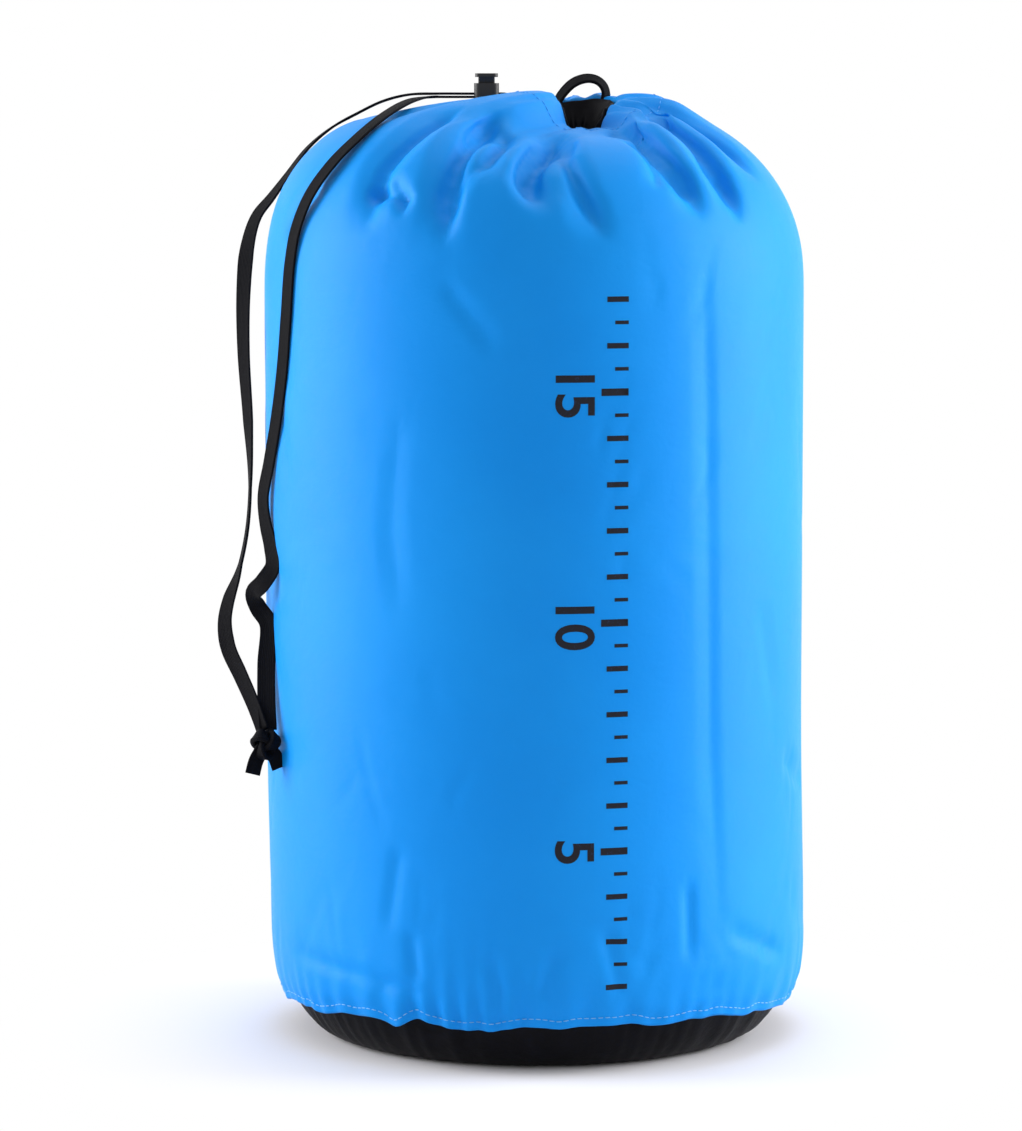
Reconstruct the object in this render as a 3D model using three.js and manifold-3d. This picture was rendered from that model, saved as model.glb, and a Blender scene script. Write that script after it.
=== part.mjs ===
// A 20 litre drawcord sack, standing full with its mouth drawn shut: a blue coated nylon tube on a black base cup.
// Flat tape runs in the mouth's channel, comes out through a spring cord lock and hangs down the left side to a knot.
// Millimetres, +Z up, origin on the floor under the sack's axis, -Y is the front.
import * as THREE from "three";
import { mergeVertices } from "three/addons/utils/BufferGeometryUtils.js";
import Module from "manifold-3d";

const wasm = await Module();
wasm.setup();

// Driving dimensions of the sack
const sackRadius = 125;
const shoulderStart = 345; // where the wall begins to turn in
const crownHeight = 435; // the gathered mouth's rim, before its pleats
const clothWall = 1.2; // modelled thickness of the nylon
const seatGap = 0.3; // between pieces that touch
const footRadius = 95; // flat part of the base
const cornerHeight = 50; // height of the rounded bottom corner
const hemAngle = 47; // degrees up the corner: lower edge of the blue cloth
const hemStitchAngle = 52.5;
const baseEdgeAngle = 64; // upper edge of the base cup, inside the blue cloth
const turns = 48; // facets round the sack

// The gathered mouth
const mouthRadius = 12;
const rimRadius = 24; // crest of the rolled rim
const rimDepth = 10; // how far the rim turns down into the hole
const shoulderPower = 2.6;
const mouthShift = 20; // the mouth is pulled off the axis towards +X
const shiftInner = 40;
const shiftOuter = 115;
const pleats = 6;
const pleatHeight = 3;
const calmInner = 25; // degrees each side of the lock where the rim has no pleats
const calmOuter = 50;
const troughDepth = 9.5; // fold in which the cord lock lies
const troughHalfWidth = 9;
const troughFade = 13; // its banks, in Y
const troughFull = 34; // from the mouth's centre
const troughEnd = 66;
const troughGone = 100;

// The channel's black facing, and the seams
const facingWall = 1;
const facingDrop = 5.15; // rim crest down to the facing's lower face
const facingOuter = 40.8;
const facingInner = 16.3;
const channelStitchRadius = 41;
const threadRadius = 0.35;
const bindingWall = 1;
const sideBindingWidth = 10;
const sideStitchSpacing = 6;

// The drawcord: flat woven tape
const tapeWidth = 8.4;
const tapeThickness = 1.1;
const tapeRingInner = 18.4;
const frontRingEnd = 2; // facets from the exit to the ring's end
const backRingEnd = 4;
const exitStart = 22.2;
const exitClearance = 2; // the buttonhole, from the mouth's centre
const exitEnd = 34;
const tailSteps = 60;

// The cord lock
const lockX = -22;
const barrelEndWall = 1.7; // along the tapes
const barrelSideWall = 1.5;
const barrelHeight = 14.5;
const barrelCorner = 3;
const barrelFloor = 1.2;
const stemLength = 7.6;
const stemWall = 0.9;
const slideClearance = 0.25;
const tapeSideClearance = 0.4;
const tapeLevel = 7.55; // barrel's underside to the lower tape
const buttonTravel = 2.5;
const buttonHead = 1.7;
const springWire = 0.6;
const springTurns = 3;
const slotFloor = 1.2;

// The hang loop, on the back of the mouth
const loopWidth = 6;
const loopThickness = 1.6;
const loopHalfSpan = 11;
const loopY = 17.5;
const loopRise = 10.5;

const radians = THREE.MathUtils.degToRad;
const smoothstep = THREE.MathUtils.smoothstep;
const clothOut = seatGap + clothWall;
const facetTurn = Math.PI / turns;
const troughStart = tapeRingInner + tapeWidth; // the fold begins outside the channel's tape

const blueCloth = new THREE.MeshStandardMaterial({ color: 0x1f8fe0, roughness: 0.55 });
const blackCloth = new THREE.MeshStandardMaterial({ color: 0x0b0b10, roughness: 0.6 });
const blackTape = new THREE.MeshStandardMaterial({ color: 0x121216, roughness: 0.85 });
const blackPlastic = new THREE.MeshStandardMaterial({ color: 0x0d0d0f, roughness: 0.4 });
const paleThread = new THREE.MeshStandardMaterial({ color: 0x9fd4f2, roughness: 0.8 });
const springSteel = new THREE.MeshStandardMaterial({ color: 0x9a9a9a, roughness: 0.3, metalness: 1 });

const sack = new THREE.Group();

function piece(name, geometry, material) {
  const mesh = new THREE.Mesh(geometry, material);
  mesh.name = name;
  sack.add(mesh);
  return mesh;
}

// --- joining and cutting ---

function solid(geometry) {
  const bare = geometry.clone();
  bare.deleteAttribute("normal");
  bare.deleteAttribute("uv");
  const merged = mergeVertices(bare, 1e-3);
  return new wasm.Manifold(
    new wasm.Mesh({
      numProp: 3,
      vertProperties: merged.attributes.position.array,
      triVerts: new Uint32Array(merged.index.array),
    }),
  );
}

function geometryOf(manifold) {
  const mesh = manifold.getMesh();
  return new THREE.BufferGeometry()
    .setAttribute("position", new THREE.BufferAttribute(mesh.vertProperties, 3))
    .setIndex(new THREE.BufferAttribute(mesh.triVerts, 1));
}

function block(low, high) {
  const size = new THREE.Vector3().subVectors(high, low);
  const middle = new THREE.Vector3().addVectors(low, high).multiplyScalar(0.5);
  return new THREE.BoxGeometry(size.x, size.y, size.z).translate(middle.x, middle.y, middle.z);
}

// A closed outline of (radius, height) points turned about Z.
function turned(outline, start = 0, sweep = 2 * Math.PI, facets = turns) {
  const closed = [...outline, outline[0]].map(([r, z]) => new THREE.Vector2(r, z));
  return new THREE.LatheGeometry(closed, facets, start, sweep).rotateX(Math.PI / 2);
}

// --- the sack's section: one line that every ply is measured from ---

const lineRadius = sackRadius - clothOut;
const lineCrown = crownHeight - clothOut;

function cornerPoint(degrees) {
  const a = radians(degrees);
  return [
    footRadius + (lineRadius - footRadius) * Math.sin(a),
    cornerHeight * (1 - Math.cos(a)),
  ];
}

function shoulderPoint(degrees) {
  const a = radians(degrees);
  const power = 2 / shoulderPower;
  return [
    rimRadius + (lineRadius - rimRadius) * Math.cos(a) ** power,
    shoulderStart + (lineCrown - shoulderStart) * Math.sin(a) ** power,
  ];
}

function rimPoint(degrees) {
  const a = radians(degrees);
  const rimFoot = crownHeight - rimDepth;
  return [
    rimRadius - (rimRadius - mouthRadius - clothOut) * Math.sin(a),
    rimFoot + (lineCrown - rimFoot) * Math.cos(a),
  ];
}

const footArc = [0, 12, 24, 36].map(cornerPoint);
const overlapArc = [hemAngle, hemStitchAngle, baseEdgeAngle].map(cornerPoint);
const upperArc = [77, 90].map(cornerPoint);
const shoulderArc = [0, 10, 24, 40, 56, 69, 79, 85, 87, 89].map(shoulderPoint);
const rimArc = [0, 27, 55, 90].map(rimPoint);
const section = [...footArc, ...overlapArc, ...upperArc, ...shoulderArc, ...rimArc];

// The section moved outwards by a distance, square to itself.
function offset(distance) {
  return section.map(([r, z], i) => {
    const [r0, z0] = section[Math.max(i - 1, 0)];
    const [r1, z1] = section[Math.min(i + 1, section.length - 1)];
    const long = Math.hypot(r1 - r0, z1 - z0);
    const flat = i === 0 ? 0 : (z1 - z0) / long;
    const rise = i === 0 ? 1 : (r1 - r0) / long;
    return [r + distance * flat, z - distance * rise];
  });
}

function pleatAt(x, y) {
  const turn = Math.atan2(y, x);
  const calm = smoothstep(-Math.cos(turn), Math.cos(radians(calmOuter)), Math.cos(radians(calmInner)));
  return -pleatHeight * (1 - calm) * Math.cos(pleats * turn);
}

// The mouth is gathered: the cloth shifts sideways, rises and falls in pleats, and folds down under the lock.
function gather(geometry) {
  const position = geometry.attributes.position;
  for (let i = 0; i < position.count; i += 1) {
    const x = position.getX(i);
    const y = position.getY(i);
    const z = position.getZ(i);
    if (z < shoulderStart) continue;
    const radius = Math.hypot(x, y);
    const near = 1 - smoothstep(radius, shiftInner, shiftOuter);
    const side = 1 - smoothstep(Math.abs(y), troughHalfWidth, troughHalfWidth + troughFade);
    const along = smoothstep(radius, troughStart, troughFull) * (1 - smoothstep(radius, troughEnd, troughGone));
    const trough = x < 0 ? side * along : 0;
    const pleat = pleatAt(x, y) * near;
    position.setX(i, x + mouthShift * near);
    position.setZ(i, z + pleat - troughDepth * trough);
  }
  return geometry;
}

function count(...parts) {
  return parts.flat().length;
}

// --- cloth ---

function bodyPanel() {
  const from = count(footArc);
  const outer = offset(clothOut).slice(from);
  const inner = offset(seatGap).slice(from).reverse();
  const tube = solid(gather(turned([...outer, ...inner])));
  const buttonhole = block(
    new THREE.Vector3(mouthShift - exitEnd, -tapeWidth / 2 - exitClearance, crownHeight - rimDepth),
    new THREE.Vector3(mouthShift - exitStart, tapeWidth / 2 + exitClearance, crownHeight + pleatHeight),
  );
  return geometryOf(tube.subtract(solid(buttonhole)));
}

function basePanel() {
  const to = count(footArc, overlapArc);
  const outer = offset(0).slice(0, to);
  const inner = offset(-clothWall).slice(0, to).reverse();
  return turned([[0, 0], ...outer, ...inner, [0, clothWall]]);
}

function mouthFacing() {
  const low = crownHeight - facingDrop - facingWall;
  const seam = crownHeight - clothOut - 4 * seatGap;
  const radii = [facingInner, ...[90, 89, 87, 85].map((degrees) => shoulderPoint(degrees)[0])];
  const under = radii.map((radius) => [radius, low]);
  const over = radii.map((radius) => [radius, low + facingWall]).reverse();
  const edge = [
    [facingOuter, seam - facingWall],
    [facingOuter, seam],
    [facingOuter - facingWall, seam],
  ];
  return gather(turned([...under, ...edge, ...over]));
}

// --- seams ---

function threadRing(radius, height) {
  return turned([
    [radius + threadRadius, height],
    [radius, height + threadRadius],
    [radius - threadRadius, height],
    [radius, height - threadRadius],
  ]);
}

function hemStitch() {
  const onCloth = offset(clothOut + seatGap + threadRadius)[count(footArc) + 1];
  return threadRing(...onCloth);
}

// Height of the cloth's outer face at a radius on the crown, before it is gathered.
function clothHeight(radius) {
  const face = offset(clothOut);
  const after = face.findLastIndex(([r]) => r >= radius) + 1;
  const [r0, z0] = face[after - 1];
  const [r1, z1] = face[after];
  return THREE.MathUtils.mapLinear(radius, r0, r1, z0, z1);
}

function channelStitch() {
  const radius = channelStitchRadius;
  return gather(threadRing(radius, clothHeight(radius) + 2 * seatGap + threadRadius));
}

function baseBinding() {
  const from = count(footArc) + 1;
  const to = count(footArc, overlapArc);
  const outer = offset(-clothWall - seatGap).slice(from, to);
  const inner = offset(-clothWall - seatGap - bindingWall).slice(from, to).reverse();
  return turned([...outer, ...inner]);
}

// Straight pieces of the side seam lie on one facet of the sack, at the back.
const facetCos = Math.cos(facetTurn);
const seamLow = cornerHeight + 2;
const seamHigh = shoulderStart - 2;

function onBackFacet(x, radius, width, thickness) {
  return block(
    new THREE.Vector3(x - width / 2, radius - thickness, seamLow),
    new THREE.Vector3(x + width / 2, radius, seamHigh),
  ).rotateZ(facetTurn);
}

function sideBinding() {
  const face = (lineRadius + seatGap) * facetCos - seatGap;
  return onBackFacet(0, face, sideBindingWidth, bindingWall);
}

function sideStitch(side) {
  const thick = 2 * threadRadius;
  return onBackFacet((side * sideStitchSpacing) / 2, sackRadius * facetCos + seatGap + thick, thick, thick);
}

// --- tape ---

function flatSection(width, thickness) {
  const half = width / 2;
  const thin = thickness / 2;
  const soft = Math.min(thin, half) * 0.6;
  const shape = new THREE.Shape();
  shape.moveTo(half, -thin + soft);
  shape.lineTo(half, thin - soft);
  shape.lineTo(half - soft, thin);
  shape.lineTo(-half + soft, thin);
  shape.lineTo(-half, thin - soft);
  shape.lineTo(-half, -thin + soft);
  shape.lineTo(-half + soft, -thin);
  shape.lineTo(half - soft, -thin);
  return shape;
}

// A smooth route whose flat side faces the way that faceOf gives for each point.
class TapeRoute extends THREE.CatmullRomCurve3 {
  constructor(points, faceOf) {
    super(points.map((p) => new THREE.Vector3(...p)), false, "centripetal");
    this.faceOf = faceOf;
  }

  computeFrenetFrames(steps) {
    const frames = { tangents: [], normals: [], binormals: [] };
    for (let i = 0; i <= steps; i += 1) {
      const tangent = this.getTangentAt(i / steps);
      const face = this.faceOf(this.getPointAt(i / steps));
      const across = new THREE.Vector3().crossVectors(tangent, face).normalize();
      frames.tangents.push(tangent);
      frames.normals.push(across);
      frames.binormals.push(new THREE.Vector3().crossVectors(tangent, across));
    }
    return frames;
  }
}

function ribbon(route, steps, width, thickness) {
  return new THREE.ExtrudeGeometry(flatSection(width, thickness), {
    steps,
    extrudePath: route,
    curveSegments: 1,
  });
}

// Straight out from the sack's surface at a point near it.
function awayFromSack(point) {
  const radius = Math.hypot(point.x, point.y);
  const outwards = Math.max(radius - rimRadius, 0) / (lineRadius - rimRadius);
  const upwards = Math.max(point.z - shoulderStart, 0) / (lineCrown - shoulderStart);
  const slope = outwards ** (shoulderPower - 1) / (lineRadius - rimRadius) / radius;
  const rise = upwards ** (shoulderPower - 1) / (lineCrown - shoulderStart);
  return new THREE.Vector3(point.x * slope, point.y * slope, rise).normalize();
}

function tapeRing() {
  const level = crownHeight - facingDrop + 2 * seatGap;
  const inner = tapeRingInner;
  const outer = tapeRingInner + tapeWidth;
  const facets = turns - frontRingEnd - backRingEnd;
  const exit = 1.5 * Math.PI; // a lathe's sweep starts at -Y, and the exit faces -X
  const start = exit + 2 * facetTurn * frontRingEnd;
  const sweep = 2 * facetTurn * facets;
  const across = [inner, outer, outer, inner];
  const levels = [level, level, level + tapeThickness, level + tapeThickness];
  const outline = across.map((r, i) => [r, levels[i]]);
  const closed = [...outline, outline[0]].map(([r, z]) => new THREE.Vector2(r, z));
  const open = new THREE.LatheGeometry(closed, facets, start, sweep).rotateX(Math.PI / 2);
  return gather(cappedEnds(open, outline, start, sweep));
}

// Closes the two cut ends of a part-turned outline.
function cappedEnds(open, outline, start, sweep) {
  const ends = [start, start + sweep].map((phi) =>
    outline.map(([r, z]) => [r * Math.sin(phi), -r * Math.cos(phi), z]),
  );
  const [a, b, c, d] = ends[0];
  const [e, f, g, h] = ends[1];
  const corners = [a, b, c, a, c, d, e, g, f, e, h, g].flat();
  const wall = open.toNonIndexed().attributes.position.array;
  return new THREE.BufferGeometry().setAttribute(
    "position",
    new THREE.BufferAttribute(new Float32Array([...wall, ...corners]), 3),
  );
}

const frontTail = [
  [-1.6, -4.7, 431.0],
  [-2.3, -2.6, 430.7],
  [-4.6, -0.9, 431.05],
  [-8.8, -0.1, 433.0],
  [-12.8, 0, 434.7],
  [-18, 0, 434.95],
  [-30, 0, 434.95],
  [-40, 0, 434.95],
  [-46, -0.2, 434.95],
  [-52, -6, 434.5],
  [-56.5, -18.5, 433.3],
  [-62, -33, 430.6],
  [-70, -48, 425.2],
  [-80, -60, 416.6],
  [-91, -66.5, 405.4],
  [-101, -66, 391.5],
  [-107.5, -62.5, 376],
  [-110.5, -60, 360],
  [-112.5, -56.8, 335],
  [-114.5, -52.6, 312],
  [-117.5, -46, 290],
  [-121.5, -38, 268],
  [-124.5, -33, 252],
  [-123.5, -33, 240],
  [-121, -37, 230],
  [-120, -42, 221],
  [-124.5, -42, 213.5],
  [-129, -37, 208],
  [-127, -33, 201],
  [-122.5, -34.5, 194],
  [-123.2, -38, 176],
  [-123, -43, 160],
  [-122.2, -46.5, 146],
];

const backTail = [
  [0.2, 9.8, 431.0],
  [-1.3, 6.4, 431.35],
  [-3.1, 3.3, 432.05],
  [-5.5, 0.7, 433.25],
  [-9.4, 0, 435.15],
  [-13.2, 0, 436.35],
  [-18, 0, 436.45],
  [-30, 0, 436.45],
  [-46, 0, 436.45],
  [-58, 2, 436],
  [-70, 3, 433],
  [-82, 3, 427.3],
  [-94, 3, 420.6],
  [-105, 2, 411.2],
  [-114.5, 1, 398.5],
  [-122, -1, 388.5],
  [-128.5, -3, 380],
  [-132.5, -5, 367],
  [-134.5, -7, 345],
  [-134.5, -9, 318],
  [-132.5, -11, 286],
  [-131.5, -13, 258],
  [-133, -16, 235],
  [-137, -19, 216],
  [-141.5, -21, 203],
  [-143.2, -22, 193],
  [-141.5, -26, 182],
  [-135.5, -33, 170],
  [-129.5, -40.5, 158],
  [-124.6, -46, 146],
];

function knot() {
  const half = new THREE.Vector3(7, 6.5, 8.5);
  const hangsFrom = new THREE.Vector3(-123.2, -48, 146 - seatGap);
  const ball = new THREE.SphereGeometry(1, 14, 10).scale(half.x, half.y, half.z);
  ball.translate(hangsFrom.x, hangsFrom.y, hangsFrom.z - half.z);
  const ends = [-1, 1].map((side) =>
    solid(
      new THREE.BoxGeometry(tapeThickness, tapeWidth, 16)
        .rotateY(radians(14 * side))
        .translate(hangsFrom.x + 3 * side, hangsFrom.y, hangsFrom.z - 2 * half.z + 2),
    ),
  );
  return geometryOf(solid(ball).add(ends[0]).add(ends[1]));
}

// --- cord lock ---

const tapeSlotWidth = tapeWidth + 2 * tapeSideClearance;
const stemWidth = tapeSlotWidth + 2 * stemWall;
const barrelWidth = stemWidth + 2 * (slideClearance + barrelSideWall);
const barrelLength = stemLength + 2 * (slideClearance + barrelEndWall);
const lockBottom = crownHeight - troughDepth + 2 * seatGap + 2 * threadRadius;
const tapeStack = 2 * tapeThickness + seatGap + 0.1;
const barrelSlotTop = tapeLevel + tapeStack + seatGap;
const stemBottom = tapeLevel - seatGap - slotFloor;
const stemSlotTop = barrelSlotTop + buttonTravel;
const stemTop = barrelHeight + buttonTravel + seatGap;

function roundedPrism(long, wide, corner, low, high) {
  const shape = new THREE.Shape();
  const x = long / 2 - corner;
  const y = wide / 2 - corner;
  shape.absarc(x, y, corner, 0, Math.PI / 2);
  shape.absarc(-x, y, corner, Math.PI / 2, Math.PI);
  shape.absarc(-x, -y, corner, Math.PI, 1.5 * Math.PI);
  shape.absarc(x, -y, corner, 1.5 * Math.PI, 2 * Math.PI);
  return new THREE.ExtrudeGeometry(shape, {
    depth: high - low,
    bevelEnabled: false,
    curveSegments: 4,
  }).translate(0, 0, low);
}

function lockBarrel() {
  const shell = solid(roundedPrism(barrelLength, barrelWidth, barrelCorner, 0, barrelHeight));
  const well = roundedPrism(
    stemLength + 2 * slideClearance,
    stemWidth + 2 * slideClearance,
    1,
    barrelFloor,
    barrelHeight + 1,
  );
  const slot = block(
    new THREE.Vector3(-barrelLength, -tapeSlotWidth / 2, tapeLevel - seatGap),
    new THREE.Vector3(barrelLength, tapeSlotWidth / 2, barrelSlotTop),
  );
  return geometryOf(shell.subtract(solid(well)).subtract(solid(slot)));
}

function lockPlunger() {
  const stem = solid(roundedPrism(stemLength, stemWidth, 0.8, stemBottom, stemTop + 0.5));
  const head = roundedPrism(barrelLength - 1, barrelWidth - 1, barrelCorner - 0.5, stemTop, stemTop + buttonHead);
  const slot = block(
    new THREE.Vector3(-barrelLength, -tapeSlotWidth / 2, stemBottom + slotFloor),
    new THREE.Vector3(barrelLength, tapeSlotWidth / 2, stemSlotTop),
  );
  return geometryOf(stem.add(solid(head)).subtract(solid(slot)));
}

class Helix extends THREE.Curve {
  constructor(radius, low, high, coils) {
    super();
    Object.assign(this, { radius, low, high, coils });
  }

  getPoint(t, target = new THREE.Vector3()) {
    const a = 2 * Math.PI * this.coils * t;
    return target.set(
      this.radius * Math.cos(a),
      this.radius * Math.sin(a),
      THREE.MathUtils.lerp(this.low, this.high, t),
    );
  }
}

function lockSpring() {
  const wire = new THREE.Shape().absarc(0, 0, springWire / 2, 0, 2 * Math.PI);
  const low = barrelFloor + seatGap + springWire / 2;
  const high = stemBottom - seatGap - springWire / 2;
  return new THREE.ExtrudeGeometry(wire, {
    steps: springTurns * 14,
    extrudePath: new Helix(stemLength / 2 - 1, low, high, springTurns),
    curveSegments: 3,
  });
}

// --- hang loop ---

function hangLoop() {
  const rootHeight = loopRoot();
  const arch = Array.from({ length: 9 }, (_, i) => {
    const a = Math.PI * (1 - i / 8);
    return [
      mouthShift + loopHalfSpan * Math.cos(a),
      loopY,
      rootHeight + loopRise * Math.sin(a) ** 0.7,
    ];
  });
  const middle = new THREE.Vector3(mouthShift, loopY, rootHeight - 2);
  const route = new TapeRoute(arch, (p) => new THREE.Vector3().subVectors(p, middle));
  const feet = [-1, 1].map((side) =>
    solid(
      new THREE.CylinderGeometry(loopWidth / 2, loopWidth / 2, loopThickness, 16)
        .rotateZ(Math.PI / 2)
        .translate(mouthShift + side * loopHalfSpan, loopY, rootHeight),
    ),
  );
  const strap = solid(ribbon(route, 16, loopWidth, loopThickness));
  return geometryOf(strap.add(feet[0]).add(feet[1]));
}

function loopRoot() {
  const footHeight = crownHeight + pleatAt(loopHalfSpan, loopY);
  return footHeight + 2 * seatGap + loopWidth / 2;
}

piece("body_panel", bodyPanel(), blueCloth);
piece("base_panel", basePanel(), blackCloth);
piece("mouth_facing", mouthFacing(), blackCloth);
piece("base_hem_stitch", hemStitch(), paleThread);
piece("channel_stitch", channelStitch(), paleThread);
piece("base_seam_binding", baseBinding(), blackTape);
piece("side_seam_binding", sideBinding(), blackTape);
piece("side_seam_stitch_left", sideStitch(1), paleThread);
piece("side_seam_stitch_right", sideStitch(-1), paleThread);
piece("drawcord_ring", tapeRing(), blackTape);
piece("drawcord_tail_front", ribbon(new TapeRoute(frontTail, awayFromSack), tailSteps, tapeWidth, tapeThickness), blackTape);
piece("drawcord_tail_back", ribbon(new TapeRoute(backTail, awayFromSack), tailSteps, tapeWidth, tapeThickness), blackTape);
piece("drawcord_knot", knot(), blackTape);
piece("hang_loop", hangLoop(), blackTape);

const lockPieces = {
  lock_barrel: [lockBarrel(), blackPlastic],
  lock_plunger: [lockPlunger(), blackPlastic],
  lock_spring: [lockSpring(), springSteel],
};
for (const [name, [geometry, material]] of Object.entries(lockPieces)) {
  piece(name, geometry, material).position.set(lockX, 0, lockBottom);
}

export default sack;
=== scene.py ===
"""A full 20 litre drawcord sack: blue nylon gathered at the top, a black base cup, and tape with a cord lock.

Each operator makes one piece, or a group of like pieces, around the loaded frame. Sizes are in metres.
"""

import math

import bmesh
import bpy
import numpy as np
from bpy.props import FloatProperty, FloatVectorProperty, IntProperty, PointerProperty
from mathutils import Matrix, Vector
from mathutils.bvhtree import BVHTree


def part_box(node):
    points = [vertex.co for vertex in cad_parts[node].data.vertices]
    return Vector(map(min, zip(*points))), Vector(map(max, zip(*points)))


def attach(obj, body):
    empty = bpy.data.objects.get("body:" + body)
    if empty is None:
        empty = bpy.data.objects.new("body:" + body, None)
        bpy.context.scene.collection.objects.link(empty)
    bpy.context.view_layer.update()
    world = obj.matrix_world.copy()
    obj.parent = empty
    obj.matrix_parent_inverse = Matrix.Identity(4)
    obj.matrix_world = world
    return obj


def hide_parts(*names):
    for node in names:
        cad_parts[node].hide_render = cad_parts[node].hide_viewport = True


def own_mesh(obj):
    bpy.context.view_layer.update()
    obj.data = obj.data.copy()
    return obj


bl_info = {
    "name": "Drawcord sack",
    "version": (1, 0, 0),
    "blender": (4, 5, 0),
    "location": "View3D > Sidebar > Sack",
    "description": "Builds the cloth, tape and trim of a full drawcord sack round its frame",
    "category": "Object",
}

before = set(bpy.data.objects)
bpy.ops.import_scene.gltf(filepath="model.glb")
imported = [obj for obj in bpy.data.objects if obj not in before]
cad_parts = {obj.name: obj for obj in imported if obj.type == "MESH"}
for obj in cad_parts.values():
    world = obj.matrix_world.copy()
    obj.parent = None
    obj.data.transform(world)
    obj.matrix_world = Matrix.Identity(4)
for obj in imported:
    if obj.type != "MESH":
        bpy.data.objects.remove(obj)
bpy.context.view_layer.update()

MM = 0.001
lock_low, lock_high = (Vector(corner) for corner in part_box("lock_barrel"))
spring_low, spring_high = (Vector(corner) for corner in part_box("lock_spring"))
loop_low, loop_high = (Vector(corner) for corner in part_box("hang_loop"))
knot_low, knot_high = (Vector(corner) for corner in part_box("drawcord_knot"))
SACK_RADIUS = Vector(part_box("body_panel")[1]).x
MOUTH_CENTRE = Vector((20 * MM, 0, 0))

# ------------------------------------------------------------------ sizes and colours


class SackSizes(bpy.types.PropertyGroup):
    """Sizes of the cloth, the stitches and the tape"""

    shoulder_start: FloatProperty(
        name="Shoulder start",
        description="Height at which the wall begins to turn in",
        default=345 * MM,
        unit="LENGTH",
    )
    crown: FloatProperty(
        name="Crown",
        description="Height of the mouth's rim before its folds",
        default=434 * MM,
        unit="LENGTH",
    )
    rim_radius: FloatProperty(
        name="Rim radius",
        description="Radius of the crest round the mouth",
        default=24 * MM,
        unit="LENGTH",
    )
    foot_radius: FloatProperty(
        name="Foot radius",
        description="Radius of the flat part of the base",
        default=95 * MM,
        unit="LENGTH",
    )
    corner_height: FloatProperty(
        name="Corner height",
        description="Height of the rounded bottom corner",
        default=50 * MM,
        unit="LENGTH",
    )
    columns: IntProperty(name="Columns", description="Cloth cells round the sack", default=216)
    rows: IntProperty(name="Rows", description="Cloth cells up the sack", default=108)
    stitch_length: FloatProperty(
        name="Stitch length",
        description="Length of one stitch",
        default=2.5 * MM,
        unit="LENGTH",
    )
    tape_width: FloatProperty(
        name="Tape width",
        description="Width of the drawcord tape",
        default=8.4 * MM,
        unit="LENGTH",
    )
    tape_thickness: FloatProperty(
        name="Tape thickness",
        description="Thickness of the drawcord tape",
        default=1.1 * MM,
        unit="LENGTH",
    )


def colour(name, description, rgb):
    return FloatVectorProperty(name=name, description=description, default=rgb, size=3, subtype="COLOR")


class SackColours(bpy.types.PropertyGroup):
    """Colours of the materials"""

    blue: colour("Blue", "Colour of the blue nylon", (0.002, 0.238, 0.72))
    blue_light: colour("Blue bloom", "Colour of the blue nylon where it is rubbed", (0.004, 0.262, 0.75))
    black: colour("Black", "Colour of the black nylon", (0.002, 0.002, 0.0035))
    tape: colour("Tape", "Colour of the woven tape", (0.003, 0.003, 0.0045))
    thread: colour("Thread", "Colour of the pale thread", (0.13, 0.43, 0.80))
    plastic: colour("Plastic", "Colour of the cord lock", (0.004, 0.004, 0.005))
    ink: colour("Ink", "Colour of the printed scale", (0.010, 0.010, 0.016))


# ------------------------------------------------------------------ shader maths


class Socket:
    """A shader value that takes part in expressions; each operation adds its node."""

    def __init__(self, tree, socket):
        self.tree = tree
        self.socket = socket

    def node(self, kind, settings=None, output=0, **inputs):
        """Adds a node: its settings first, then the values or links of its sockets."""
        made = self.tree.nodes.new(kind)
        for key, value in (settings or {}).items():
            setattr(made, key, value)
        for key, value in inputs.items():
            place = int(key[1:]) if key[0] == "i" and key[1:].isdigit() else key.replace("_", " ")
            if isinstance(value, Socket):
                self.tree.links.new(value.socket, made.inputs[place])
            else:
                made.inputs[place].default_value = value
        return Socket(self.tree, made.outputs[output])

    def maths(self, operation, *values):
        sockets = {f"i{place}": value for place, value in enumerate(values)}
        return self.node("ShaderNodeMath", {"operation": operation}, **sockets)

    def __add__(self, other):
        return self.maths("ADD", self, other)

    __radd__ = __add__

    def __sub__(self, other):
        return self.maths("SUBTRACT", self, other)

    def __mul__(self, other):
        return self.maths("MULTIPLY", self, other)

    __rmul__ = __mul__

    def clamp(self):
        return self.node("ShaderNodeClamp", i0=self)

    def sine(self):
        return self.maths("SINE", self)

    def distance_to(self, value):
        return self.maths("ABSOLUTE", self - value)

    def ramp(self, low, high):
        """0 below low, 1 above high, smooth between."""
        return self.node(
            "ShaderNodeMapRange",
            {"interpolation_type": "SMOOTHSTEP"},
            Value=self,
            From_Min=low,
            From_Max=high,
        )

    def blend(self, first, second):
        """The first colour where this value is 0, the second where it is 1."""
        mix = self.tree.nodes.new("ShaderNodeMix")
        mix.data_type = "RGBA"
        self.tree.links.new(self.socket, mix.inputs[0])
        for place, value in ((6, first), (7, second)):
            if isinstance(value, Socket):
                self.tree.links.new(value.socket, mix.inputs[place])
            else:
                mix.inputs[place].default_value = (*value, 1)
        return Socket(self.tree, mix.outputs[2])


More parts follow.
